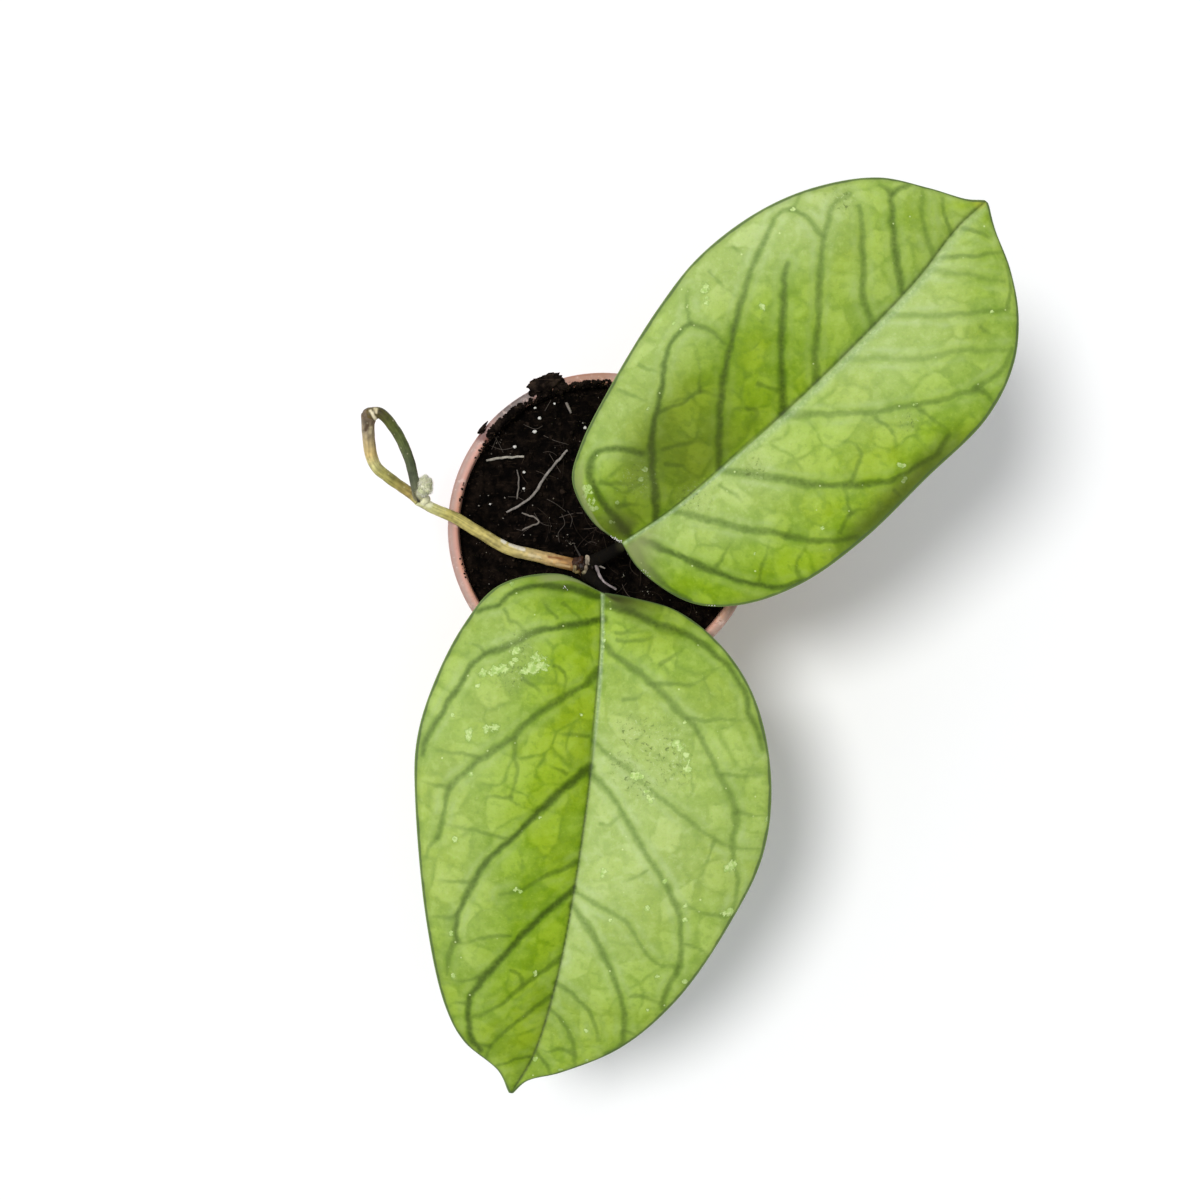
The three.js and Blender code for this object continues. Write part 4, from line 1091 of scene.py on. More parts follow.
# Marks on the shoot: two ends in plan, how wide, lowest height, colour
SHOOT_MARKS = [
    ((-58.0, 28.7), (-56.6, 26.3), 0.36, 84, "#e6dcb8"), ((-56.8, 29.3), (-56.6, 28.3), 0.36, 84, "#dccfa6"),
    ((-59.6, 29.4), (-58.6, 30.2), 0.45, 84, "#2e2212"),
    ((-47.0, 7.7), (-46.8, 6.5), 0.38, 74, "#2b2712"), ((-58.9, 25.2), (-59.5, 24.0), 0.45, 80, "#5b4a34"),
    ((-58.0, 24.6), (-58.3, 23.4), 0.4, 80, "#c4b58c"), ((-25.8, -3.2), (-25.2, -3.6), 0.55, 69, "#e6dfc8"),
    ((-23.8, -4.3), (-20.4, -5.5), 0.5, 69, "#e4dcc4"), ((-19.0, -7.0), (-16.2, -7.6), 0.35, 69, "#d6c498"),
    ((-46.0, 8.2), (-44.4, 6.1), 1.15, 74, "#f4f2c6"),
    ((-14.0, -7.4), (-10.5, -7.9), 0.3, 68, "#8a5a30"), ((-12.0, -9.4), (-8.6, -9.9), 0.3, 66, "#d0b080"),
]


def marked(points, colours):
    """Colours with the marks laid over them: full within a mark's width of its line, seen from above."""
    for start, end, width, lowest, tone in SHOOT_MARKS:
        start, span = np.array(start), np.array(end) - start
        share = np.clip(((points[:, :2] - start) @ span) / (span @ span), 0, 1)
        apart = np.linalg.norm(points[:, :2] - start - share[:, None] * span, axis=1)
        cover = eased(apart, width * 1.3, width * 0.6) * (points[:, 2] > lowest)
        colours = colours + cover[:, None] * (np.array(linear(tone)) - colours)
    return colours


def mottled(points, tone, seed):
    """One tone for all points, times 0.8 + 0.6 * random hills half a millimetre apart."""
    colours = np.tile(linear(tone), (len(points), 1))
    colours[:, :3] *= np.clip(0.8 + 0.6 * hills(points, 0.5, seed), 0.2, 1.4)[:, None]
    return colours


# %% The vine's one piece
vine_parts, vine_tints = [], []
for number_of_run, run in enumerate(VINE_RUNS):
    run_points, run_faces, run_tint = vine_run(run, 40 + 2 * number_of_run)
    vine_parts.append((run_points, run_faces))
    vine_tints.append(run_tint)
for number_of_knob, (centre, radii, tone) in enumerate(CROWN_KNOBS):
    vine_parts.append(lump(centre, radii, *KNOB_GRID, 60 + number_of_knob, 0.34, 0.55))
    vine_tints.append(mottled(vine_parts[-1][0], tone, 170 + number_of_knob))
for number_of_node, (centre, radius, tone) in enumerate(NODES):
    vine_parts.append(lump(centre, [radius] * 3, *KNOB_GRID, 80 + number_of_node, 0.12, 1.2))
    vine_tints.append(mottled(vine_parts[-1][0], tone, 180 + number_of_node))
for number_of_root, (radius, tone, route) in enumerate(ROOTLETS):
    shares = np.linspace(0, 1, ROOTLET_ROWS)
    line = smooth_line(route, shares)
    thick = radius * (1 + 0.25 * hills(line, 1.5, 70 + number_of_root) - 0.3 * shares**4)
    vine_parts.append(closed_tube(tube_rings(line, thick, ROOTLET_SIDES)))
    vine_tints.append(mottled(vine_parts[-1][0], tone, 190 + number_of_root))
vine_points, vine_faces = joined(vine_parts)
vine_values = {"tint": marked(vine_points, np.vstack(vine_tints))}
make_piece("vine_stem", vine_points, vine_faces, STEM_SKIN, "stem", ("vine",), vine_values)

# %% [markdown]
# ## The growing tip
#
# At the end of the dark run sits next season's growth: a few folded scales, pale cream-green and covered in
# short down. Scales are pointed lumps; each hair is a three-sided spike, and there are eleven thousand of
# them.

# %% Growing tip
TIP_SCALES = [
    # middle, half sizes along the scale, across and up, heading in degrees
    ([-45.1, 10.2, 81.0], (1.8, 1.6, 1.1), 95), ([-45.1, 11.4, 81.0], (1.1, 1.1, 0.9), 80),
    ([-44.4, 10.9, 81.2], (1.0, 1.0, 0.8), 60), ([-45.9, 10.8, 81.1], (1.0, 1.0, 0.8), 120),
    ([-44.5, 9.4, 81.2], (1.1, 1.0, 0.9), 70), ([-45.8, 9.1, 81.1], (1.1, 1.0, 0.9), 115),
]
HAIR_LENGTH = 0.95
HAIR_COUNT = 11000
HAIR_ROOT = 0.035              # mm from a hair's middle to each corner of its root
HAIR_CORNERS = (0, 2.094, 4.189)                        # radians, a third of a turn apart
SCALE_GRID = (16, 20)


def scale_shape(middle, halves, heading, seed):
    """A pointed lump: a sphere drawn out along its axis, whose width falls with the distance from its
    middle."""
    sphere = ball(*SCALE_GRID)[..., [2, 0, 1]]
    narrow = 1 - 0.35 * np.abs(sphere[..., :1]) ** 2
    shape = sphere * np.dstack([np.ones_like(narrow), narrow, narrow]) * halves
    shape *= 1 + 0.1 * hills(shape.reshape(-1, 3), 1.1, seed).reshape(*SCALE_GRID, 1)
    return closed_tube(shape @ turn_about_z(math.radians(heading)) + middle)


def hairs(roots, outward, length, seed):
    """Three-sided spikes: a small root triangle, and a tip at root + length * (outward + a random lean)."""
    random = np.random.default_rng(seed)
    lean = outward + random.normal(0, 0.6, outward.shape)
    lean /= np.linalg.norm(lean, axis=1)[:, None]
    tips = roots + lean * (length * random.uniform(0.5, 1.1, len(roots)))[:, None]
    side = np.cross(lean, random.normal(size=lean.shape))
    side /= np.linalg.norm(side, axis=1)[:, None]
    up = np.cross(lean, side)
    corners = [roots + HAIR_ROOT * (side * math.cos(a) + up * math.sin(a)) for a in HAIR_CORNERS]
    points = np.stack([*corners, tips], axis=1).reshape(-1, 3)
    first = np.arange(len(roots))[:, None] * 4
    faces = np.vstack([first + (0, 1, 3), first + (1, 2, 3), first + (2, 0, 3), first + (2, 1, 0)])
    return points, [faces]


# %% Down


def down_material():
    """Young leaf tissue under short down: pale cream-green, dull, with a soft sheen from the hairs."""
    material, tree, place = new_material("downy_young_growth")
    soft = grain(tree, place, 1.3, 3)
    colour = mixed(tree, between(tree, soft, 0.35, 0.65), "#e4e8bc", "#faf8e2")
    blush = between(tree, grain(tree, place, 1.4, 2), 0.58, 0.7, 0, 0.6)
    colour = mixed(tree, blush, colour, "#b89a78")
    return finished(material, {
        "Base Color": colour, "Roughness": 0.8, "IOR": 1.45, "Specular IOR Level": 0.25, "Sheen Weight": 0.4,
        "Sheen Roughness": 0.5}, soft, strength=0.4, depth=0.2)


tip_parts = [scale_shape(*scale, 80 + number_of_scale) for number_of_scale, scale in enumerate(TIP_SCALES)]
tip_points = joined(tip_parts)[0]
picked = np.random.default_rng(5).choice(len(tip_points), HAIR_COUNT)
middles = np.concatenate([np.tile(scale[0], (len(part[0]), 1)) for scale, part in zip(TIP_SCALES, tip_parts)])
outward = tip_points - middles
outward /= np.linalg.norm(outward, axis=1)[:, None]
tip_parts.append(hairs(tip_points[picked], outward[picked], HAIR_LENGTH, 6))
make_piece("downy_tip", *joined(tip_parts), down_material(), "young_growth", ("growing_tip",))

# %% [markdown]
# ## The pot
#
# A thin nursery pot, injection moulded in terracotta-coloured polypropylene. Moulding gives it its steps: a
# foot ring, a tapering wall, a wider band and a rounded lip. Its outline is turned about the axis, every
# corner eased by a small curve, and the drain slots are then cut through the floor.

# %% Pot
POT_SIDES = 160
CORNER = 0.45
# Radius and height of each corner, from the centre boss over the foot ring and up the outside, then down
# inside
POT_PROFILE = [(5.4, 0), (6, 1), (22.4, 1), (23, 0), (26.6, 0), (27.6, 1), (36.4, 59), (38.4, 60),
               (39.5, 67.5), (40, 68), (40, 69.5), (39.5, 70), (37.7, 70), (37.2, 69.5), (37.2, 68), (37, 61),
               (35.2, 59.6), (26.4, 3.4), (25.4, 2.4)]
DRAIN_COUNT = 8
DRAIN_ORBIT = 14
DRAIN_SLOT = (7, 2.6)
CUTTER_ENDS = (-1.0, 4.0)      # from below the floor to above it
# Darker places on the lip: x, y, reach in mm and tone; the small dark red one at (-30.6, 24.4) is painted
# shade
LIP_DARK_PLACES = [(-23, 32.5, 9, "#5c534f"), (-30.6, 24.4, 3.6, "#6b3b36"), (-4, 39.6, 9, "#a5745c")]


def eased_corners(profile, reach, steps):
    """Each corner becomes a short curve: (1 - t)^2 * before + 2t(1 - t) * corner + t^2 * after, where
    before and after lie reach away from the corner, or at 0.45 of a shorter edge."""
    corners = np.array(profile, float)
    first, last = corners[0] * (0.2, 1), corners[-1] * (0.2, 1)
    padded = np.vstack([first, corners, last])
    t = np.linspace(0, 1, steps)[None, :, None]
    sides = []
    for neighbour in (padded[:-2], padded[2:]):
        edge = neighbour - corners
        length = np.linalg.norm(edge, axis=1)[:, None]
        sides.append((corners + edge * np.minimum(reach / length, 0.45))[:, None])
    before, after = sides
    return ((1 - t) ** 2 * before + 2 * t * (1 - t) * corners[:, None] + t**2 * after).reshape(-1, 2)


def turned(profile, sides):
    """A profile of (radius, height) carried round the axis, closed at both ends on the axis."""
    angle = np.arange(sides) * 2 * np.pi / sides
    radius, height = profile[:, :1], profile[:, 1:]
    heights = np.broadcast_to(height, (len(profile), sides))
    return closed_tube(np.dstack([radius * np.cos(angle), radius * np.sin(angle), heights]))


def drain_cutters():
    """All drain slots as upright bars with half-round ends, side by side on their circle."""
    parts = []
    length, width = DRAIN_SLOT
    angle = np.linspace(-np.pi / 2, np.pi / 2, 9)
    end = np.column_stack([np.cos(angle), np.sin(angle)]) * width / 2
    outline = np.vstack([end + ((length - width) / 2, 0), -end - ((length - width) / 2, 0)])
    for number_of_slot in range(DRAIN_COUNT):
        turn = turn_about_z(2 * math.pi * (number_of_slot + 0.5) / DRAIN_COUNT)
        flat = level(outline + (DRAIN_ORBIT, 0)) @ turn
        parts.append(closed_tube(np.stack([flat + (0, 0, z) for z in CUTTER_ENDS])))
    return joined(parts)


# %% Pot material


def pot_material():
    """Polypropylene, injection moulded, terracotta pigment: satin, a little cloudy in colour, with peat dust
    caught near the lip and dull mineral stains low down."""
    material, tree, place = new_material("moulded_polypropylene")
    cloud = grain(tree, place, 14, 3)
    fine = grain(tree, place, 0.9, 4, 0.65)
    height = add(tree, "ShaderNodeSeparateXYZ", {0: place}).outputs[2]
    near_lip = between(tree, height, 66 * MM, 69.5 * MM)
    colour = mixed(tree, between(tree, cloud, 0.2, 0.8), "#cb9280", "#daa695")
    peach = number(tree, "MULTIPLY", between(tree, grain(tree, place, 5, 2), 0.52, 0.66, 0, 0.5), near_lip)
    colour = mixed(tree, peach, colour, "#d49672")
    flat_place = add(tree, "ShaderNodeVectorMath", {0: place, 1: (1, 1, 0)}, operation="MULTIPLY").outputs[0]
    from_axis = add(tree, "ShaderNodeVectorMath", {0: flat_place}, operation="LENGTH").outputs["Value"]
    # The lip's outer edge is darker
    outer_lip_darker = between(tree, from_axis, 37.8 * MM, 39.2 * MM, 0, 0.78)
    colour = mixed(tree, number(tree, "MULTIPLY", outer_lip_darker, near_lip), colour, "#a0857c")
    # Darker places on the lip; the small dark red one is painted shade
    for x, y, reach, tone in LIP_DARK_PLACES:
        apart = add(tree, "ShaderNodeVectorMath", {0: flat_place, 1: (x * MM, y * MM, 0)},
                    operation="DISTANCE").outputs["Value"]
        cover = between(tree, apart, 0.4 * reach * MM, reach * MM, 0.85, 0)
        colour = mixed(tree, number(tree, "MULTIPLY", cover, near_lip), colour, tone)
    scuffs = between(tree, grain(tree, place, 2.6, 4, 0.7), 0.55, 0.68, 0, 0.5)
    colour = mixed(tree, number(tree, "MULTIPLY", near_lip, scuffs), colour, "#dfc3b8")
    dust = number(tree, "MULTIPLY", between(tree, height, 60 * MM, 70 * MM, 0.25, 1.0),
                  between(tree, grain(tree, place, 1.6, 5, 0.75), 0.6, 0.72, 0, 0.8))
    colour = mixed(tree, dust, colour, "#5b3a2e")
    low = between(tree, height, 26 * MM, 2 * MM)
    stains = number(tree, "MULTIPLY", low, between(tree, grain(tree, place, 6, 5, 0.7), 0.5, 0.62, 0, 0.35))
    colour = mixed(tree, stains, colour, "#dac3b6")
    rough = between(tree, fine, 0.3, 0.7, 0.42, 0.56)
    return finished(material, {
        "Base Color": colour, "Roughness": rough, "IOR": 1.49, "Subsurface Weight": 0.08,
        "Subsurface Radius": (1.0, 0.4, 0.3), "Subsurface Scale": 0.001},
        number(tree, "ADD", fine, cloud), strength=0.12, depth=0.2)


# %% The pot's piece


def cut_through(piece, points, faces):
    """Cuts the shape out of the piece's mesh and marks its edges sharper than 35 degrees."""
    cutter_mesh = bpy.data.meshes.new("cutter")
    cutter_mesh.from_pydata((points * MM).tolist(), [], [row for rows in faces for row in rows.tolist()])
    cutter = bpy.data.objects.new("cutter", cutter_mesh)
    bpy.context.scene.collection.objects.link(cutter)
    cut = piece.modifiers.new("drain_slots", "BOOLEAN")
    cut.operation = "DIFFERENCE"
    cut.object = cutter
    seen = piece.evaluated_get(bpy.context.evaluated_depsgraph_get())
    holed = bpy.data.meshes.new_from_object(seen)
    piece.modifiers.clear()
    piece.data = holed
    bpy.data.objects.remove(cutter)
    holed.shade_smooth()
    holed.set_sharp_from_angle(angle=math.radians(35))


pot_points, pot_faces = turned(eased_corners(POT_PROFILE, CORNER, 5), POT_SIDES)
pot = make_piece("nursery_pot", pot_points, pot_faces, pot_material(), "pot", ("pot",))
cutter_points, cutter_faces = drain_cutters()
if volume(cutter_points, cutter_faces) < 0:
    cutter_faces = [rows[:, ::-1] for rows in cutter_faces]
cut_through(pot, cutter_points, cutter_faces)
print("pot faces after the cut:", len(pot.data.polygons))

# %% [markdown]
# ## The soil
#
# Dark moist peat: crumbs and clods of every size, brown fibres, and grains of white perlite. The plug's
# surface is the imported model's sum of waves with four finer layers of clods added; loose crumbs and fibres
# lie on top.

# %% Soil surface
SOIL_TOP = 66
SOIL_EDGE = 37.2
SOIL_RINGS = 150
SOIL_SECTORS = 380
SOIL_SIDE = np.array([(12, 2.7), (24.9, 2.7), (34.7, 59.4), (36.8, 61.2), (37.15, 63.5)])


def soil_waves(x, y):
    """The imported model's soil height: 66 mm, a sum of three waves, and a heap at the upper left."""
    waves = 0.55 * np.sin(0.31 * x + 0.17 * y + 0.6) * np.cos(0.23 * y - 0.4)
    waves += 0.35 * np.sin(0.62 * x - 0.47 * y) + 0.2 * np.sin(0.9 * y + 0.8 * x + 2)
    return SOIL_TOP + waves + 1.6 * np.exp(-((x + 17) ** 2 + (y - 30) ** 2) / 90)


def soil_height(x, y):
    """Waves plus clods: random hills 5.5, 2.6, 1.2 and 0.6 mm apart, the two middle ones folded to sharp
    creases."""
    flat = level(np.column_stack([x, y]))
    clods = 0.55 * hills(flat, 5.5, 101)
    clods += 0.9 * (0.35 - np.abs(hills(flat, 2.6, 102))) + 0.5 * (0.3 - np.abs(hills(flat, 1.2, 103)))
    return soil_waves(x, y) + clods + 0.12 * hills(flat, 0.6, 104)


def plug_height(x, y):
    """Soil height whose relief fades out in the last two millimetres before the pot's wall."""
    share = eased(SOIL_EDGE - np.hypot(x, y), -0.4, 2.4)
    return (SOIL_TOP - 0.4) * (1 - share) + soil_height(x, y) * share


def soil_plug():
    """Rings from the side's foot up over the edge and in to the middle; the top ones carry the relief."""
    angle = np.arange(SOIL_SECTORS) * 2 * np.pi / SOIL_SECTORS
    radius = np.concatenate([SOIL_SIDE[:, 0], np.linspace(SOIL_EDGE, 0.1, SOIL_RINGS)])[:, None]
    x, y = radius * np.cos(angle), radius * np.sin(angle)
    height = plug_height(x.ravel(), y.ravel()).reshape(x.shape)
    height[:len(SOIL_SIDE)] = SOIL_SIDE[:, 1:]
    return closed_tube(np.dstack([x, y, height]))


# %% Peat


def peat_material(name, dark, light, fibre):
    """Moist sphagnum peat: nearly black, brown on the dry crumbs, fully rough."""
    material, tree, place = new_material(name)
    clods = grain(tree, place, 2.4, 4, 0.65)
    fine = grain(tree, place, 0.6, 4, 0.7)
    colour = mixed(tree, between(tree, clods, 0.42, 0.7), dark, light)
    lengthwise = {"Vector": place, "Rotation": (0.3, 0.2, 0.7), "Scale": (1, 9, 3)}
    strands = grain(tree, add(tree, "ShaderNodeMapping", lengthwise).outputs[0], 4.5, 3, 0.7, 0.6)
    colour = mixed(tree, between(tree, strands, 0.6, 0.7, 0, 0.7), colour, fibre)
    sockets = {"Base Color": colour, "Roughness": 0.95, "IOR": 1.4, "Specular IOR Level": 0.05}
    return finished(material, sockets, number(tree, "ADD", fine, strands), strength=0.8, depth=0.35)


PEAT = peat_material("moist_peat", "#070504", "#1b140f", "#33281f")
soil_points, soil_faces = soil_plug()
make_piece("peat_plug", soil_points, soil_faces, PEAT, "soil", ("soil",))

# %% [markdown]
# ## Crumbs and fibres
#
# Crumbs are small angular lumps, each with a few dozen faces, strewn by a seeded draw; heaps of them lie on
# the lip where the photograph shows them. Fibres are thin bent tubes in peat's browns, and some are
# bleached.

# %% Crumbs
CRUMB_COUNT = 1300
EDGE_CRUMBS = 380
STREWN_WITHIN = 36             # mm from the axis
LIP_TOP = 70
LIP_INNER = 37.4
LIP_HEAPS = [
    # where peat lies on the lip: from and to in degrees round the rim, nearest and farthest from the axis,
    # how many crumbs, largest size
    (103, 121, 36.6, 39.9, 180, 0.9), (86, 106, 36.6, 38, 130, 0.65), (121, 143, 36.8, 38.5, 280, 0.75),
    (139.3, 143, 39.4, 40.2, 20, 0.45), (140, 152, 36.7, 37.6, 30, 0.5), (160, 176, 36.8, 37.7, 12, 0.4),
    (186, 204, 36.8, 37.7, 14, 0.4), (218, 224, 37.0, 38.2, 8, 0.5),
]


def strewn(centres, sizes, seed):
    """Angular crumbs: a coarse sphere with every point pushed in or out at random, flattened, turned at
    random and set down at its centre. Random turns come from unit quaternions (w, x, y, z)."""
    random = np.random.default_rng(seed)
    unit, faces = closed_tube(ball(5, 7))
    count = len(centres)
    push = random.uniform(0.72, 1.25, (count, len(unit), 1))
    flatten = random.uniform(0.55, 1.0, (count, 1, 3))
    shapes = unit[None] * push * flatten * np.asarray(sizes)[:, None, None]
    w, x, y, z = random.normal(size=(4, count))
    length = np.sqrt(w * w + x * x + y * y + z * z)
    w, x, y, z = w / length, x / length, y / length, z / length
    spin = np.array([[1 - 2 * (y * y + z * z), 2 * (x * y - z * w), 2 * (x * z + y * w)],
                     [2 * (x * y + z * w), 1 - 2 * (x * x + z * z), 2 * (y * z - x * w)],
                     [2 * (x * z - y * w), 2 * (y * z + x * w), 1 - 2 * (x * x + y * y)]]).transpose(2, 0, 1)
    shapes = np.einsum("nij,nkj->nki", spin, shapes) + np.asarray(centres)[:, None]
    offset = np.arange(count)[:, None, None] * len(unit)
    return shapes.reshape(-1, 3), [(rows[None] + offset).reshape(-1, rows.shape[1]) for rows in faces]


# %% Crumbs on the soil and on the lip
crumb_draw = np.random.default_rng(201)
crumb_radius = STREWN_WITHIN * np.sqrt(crumb_draw.random(CRUMB_COUNT))
crumb_angle = crumb_draw.random(CRUMB_COUNT) * 2 * np.pi
crumb_size = 0.16 + 0.7 * crumb_draw.random(CRUMB_COUNT) ** 4
crumb_x, crumb_y = crumb_radius * np.cos(crumb_angle), crumb_radius * np.sin(crumb_angle)
crumb_z = plug_height(crumb_x, crumb_y) + crumb_size * 0.35
crumb_centres = np.column_stack([crumb_x, crumb_y, crumb_z])


def round_the_rim(angle, radius, height):
    """Places at an angle in degrees, a distance from the axis and a height."""
    return np.column_stack([radius * np.cos(np.radians(angle)), radius * np.sin(np.radians(angle)), height])


# A ragged seam of crumbs where the soil meets the lip, and the heaps on the lip itself
edge_size = 0.2 + 0.5 * crumb_draw.random(EDGE_CRUMBS) ** 2
edge_radius = crumb_draw.uniform(35, 37, EDGE_CRUMBS)
edge_centres = round_the_rim(crumb_draw.uniform(0, 360, EDGE_CRUMBS), edge_radius, np.zeros(EDGE_CRUMBS))
edge_centres[:, 2] = plug_height(edge_centres[:, 0], edge_centres[:, 1]) + edge_size * 0.3
edge_centres[:, 2] += crumb_draw.uniform(0, 1.8, EDGE_CRUMBS) * eased(edge_radius, 36.2, 36.9)
places, sizes = [crumb_centres, edge_centres], [crumb_size, edge_size]
for start, end, inner, outer, count, largest in LIP_HEAPS:
    size = largest * crumb_draw.uniform(0.35, 1, count)
    angle = start + (end - start) * (crumb_draw.random(count) + crumb_draw.random(count)) / 2
    radius = crumb_draw.uniform(inner, outer, count)
    height = LIP_TOP + 0.3 * size - 2.5 * np.maximum(LIP_INNER - radius, 0)
    places.append(round_the_rim(angle, radius, height))
    sizes.append(size)
CRUMB_PEAT = peat_material("dry_peat_crumbs", "#0e0a08", "#30261f", "#4c3d32")
make_piece("peat_crumbs", *strewn(np.vstack(places), np.concatenate(sizes), 202), CRUMB_PEAT, "soil")

# %% Fibres
FIBRE_COUNT = 70
FLECK_COUNT = 170
FLECKS_WITHIN = 35.5           # mm from the axis
FIBRE_LIMIT = 36.5             # a fibre that would reach past this is left out
FIBRE_TONES = ["#2a2018", "#362a21", "#453a32", "#221a14", "#544a42"]
FLECK_TONES = ["#4a423a", "#6b6259", "#8d867c", "#35302b"]
PLACED_FIBRES = [
    # routes in plan: fine pale strands among the roots
    [(-28.5, 24.5), (-27, 22), (-25.8, 19.6)], [(-29.5, 21.5), (-26, 20.4), (-22.8, 20.9)],
    [(-14.5, 7.6), (-12, 6.2), (-9.6, 4.4)], [(-24.6, 8.2), (-22, 8.0), (-20.4, 7.2)],
    [(-10.7, 3.8), (-9.9, 1.2), (-11.6, -1.2), (-11.3, -3.6)], [(-22.4, -0.2), (-20.2, -0.6), (-18.7, 0.4)],
    [(-9.2, 4.6), (-8.0, 2.6), (-8.4, 0.4)], [(-13.4, 33), (-15.0, 30.2)], [(-6.6, 14.6), (-3.8, 15.8)],
    [(-17.8, 4.0), (-16.0, 1.4), (-13.8, 0.6)], [(-20.5, 26.8), (-17.4, 25.6), (-15.6, 26.4)],
    [(-8.9, 21.6), (-12.4, 22.6), (-15.4, 24.0)], [(-27.2, 24.0), (-28.8, 20.4)],
]


def fibre(route, radius, lift):
    """A thin tube of five sides along a route in plan, laid on the soil."""
    line = smooth_line(level(route), np.linspace(0, 1, 12))
    line[:, 2] = soil_waves(line[:, 0], line[:, 1]) + lift
    return closed_tube(tube_rings(line, radius, 5))


# %% Fibres strewn and placed
fibre_draw = np.random.default_rng(301)
fibres, fibre_tints = [], []
for _ in range(FIBRE_COUNT):
    reach, turn, heading, bow = fibre_draw.uniform((0, 0, 0, -0.9), (34, 2 * np.pi, 2 * np.pi, 0.9))
    size = fibre_draw.uniform(1.5, 5.5)
    steps = np.linspace(-1, 1, 4)
    local = np.column_stack([steps * size, bow * size * 0.6 * steps**2])
    middle = np.array([math.cos(turn), math.sin(turn)]) * reach
    route = local @ turn_about_z(heading)[:2, :2] + middle
    if np.linalg.norm(route, axis=1).max() > FIBRE_LIMIT:
        continue
    fibres.append(fibre(route, fibre_draw.uniform(0.04, 0.09), fibre_draw.uniform(0.2, 0.6)))
    fibre_tints.append(np.tile(linear(fibre_draw.choice(FIBRE_TONES)), (len(fibres[-1][0]), 1)))
for route in PLACED_FIBRES:
    fibres.append(fibre(route, 0.07, 0.6))
    fibre_tints.append(np.tile(linear("#544c45"), (len(fibres[-1][0]), 1)))

# %% Flecks
# Grey flecks: grit and bits of bark, some strewn and some in the clusters that the photograph shows
FLECK_CLUSTERS = [(-8.5, -3.8, 1.6, 16), (0.2, -10.2, 0.9, 5), (5.1, -12, 0.9, 6), (11.2, -17, 2.2, 12),
                  (-26.5, 22.5, 2.5, 12), (-20.8, 9.6, 0.7, 4), (-4.5, 27, 2.5, 6)]
fleck_places = []
for x, y, spread_of, count in FLECK_CLUSTERS:
    fleck_places.append(fibre_draw.normal((x, y), spread_of * 0.5, (count, 2)))
fleck_radius = FLECKS_WITHIN * np.sqrt(fibre_draw.random(FLECK_COUNT))
fleck_angle = fibre_draw.uniform(0, 2 * np.pi, FLECK_COUNT)
fleck_places.append(np.column_stack([fleck_radius * np.cos(fleck_angle), fleck_radius * np.sin(fleck_angle)]))
for x, y in np.vstack(fleck_places):
    size = fibre_draw.uniform(0.1, 0.26)
    height = plug_height(np.array([x]), np.array([y]))[0] + 0.15
    fibres.append(strewn(np.array([[x, y, height]]), np.array([size]), int(fibre_draw.integers(1e6))))
    fibre_tints.append(np.tile(linear(fibre_draw.choice(FLECK_TONES)), (len(fibres[-1][0]), 1)))


def dry_material():
    """Dry plant fibre: bleached, finely pitted and quite dull; its tone is held by the mesh."""
    material, tree, place = new_material("dry_fibre")
    tint = stored(tree, "tint", "Color")
    fine = grain(tree, place, 0.5, 3, 0.65)
    darker = mixed(tree, 0.6, tint, "#3a2e24")
    colour = mixed(tree, between(tree, fine, 0.45, 0.75, 0, 0.8), tint, darker)
    sockets = {"Base Color": colour, "Roughness": 0.85, "IOR": 1.5, "Specular IOR Level": 0.2}
    return finished(material, sockets, fine, strength=0.5, depth=0.15)


DRY_FIBRE = dry_material()
make_piece("peat_fibres", *joined(fibres), DRY_FIBRE, "dry_root", (), {"tint": np.vstack(fibre_tints)})

# %% [markdown]
# ## Dry roots, perlite and the lumps on the lip
#
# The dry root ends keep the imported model's routes. Perlite is volcanic glass blown up like popcorn, so each
# grain is an uneven white lump with pits. Two lumps of peat with fibres sit on the lip at the upper left.

# %% Dry roots
DRY_ROOTS = [
    # radius, route in plan, how wavy, tone
    (0.33, [(-30.2, 17.6), (-25.4, 18.2), (-20.4, 18.5)], 0.22, "#a29c90"),
    (0.34, [(-24.9, 4.2), (-21.4, 6), (-18, 8.7), (-14.9, 13.5), (-9.2, 20.2)], 0.08, "#89827b"),
    (0.19, [(-22.3, 15.1), (-21.8, 12.5), (-22, 9.1), (-22.3, 7.6)], 0.1, "#6f6861"),
    (0.22, [(-21, 4.2), (-16.6, 1.8), (-20.8, -0.6)], 0.25, "#787068"),
    (0.34, [(-9.6, 32.4), (-8.2, 29.7)], 0.15, "#7d756e"),
]
ROOT_SIDES = 16


def soil_under(x, y, reach=2):
    """The highest soil wave within reach, looked for in eight directions, so that a root lies on top."""
    angle = np.arange(8)[:, None] * np.pi / 4
    around = soil_waves(x[None] + reach * np.cos(angle), y[None] + reach * np.sin(angle))
    return np.maximum(soil_waves(x, y), around.max(axis=0))


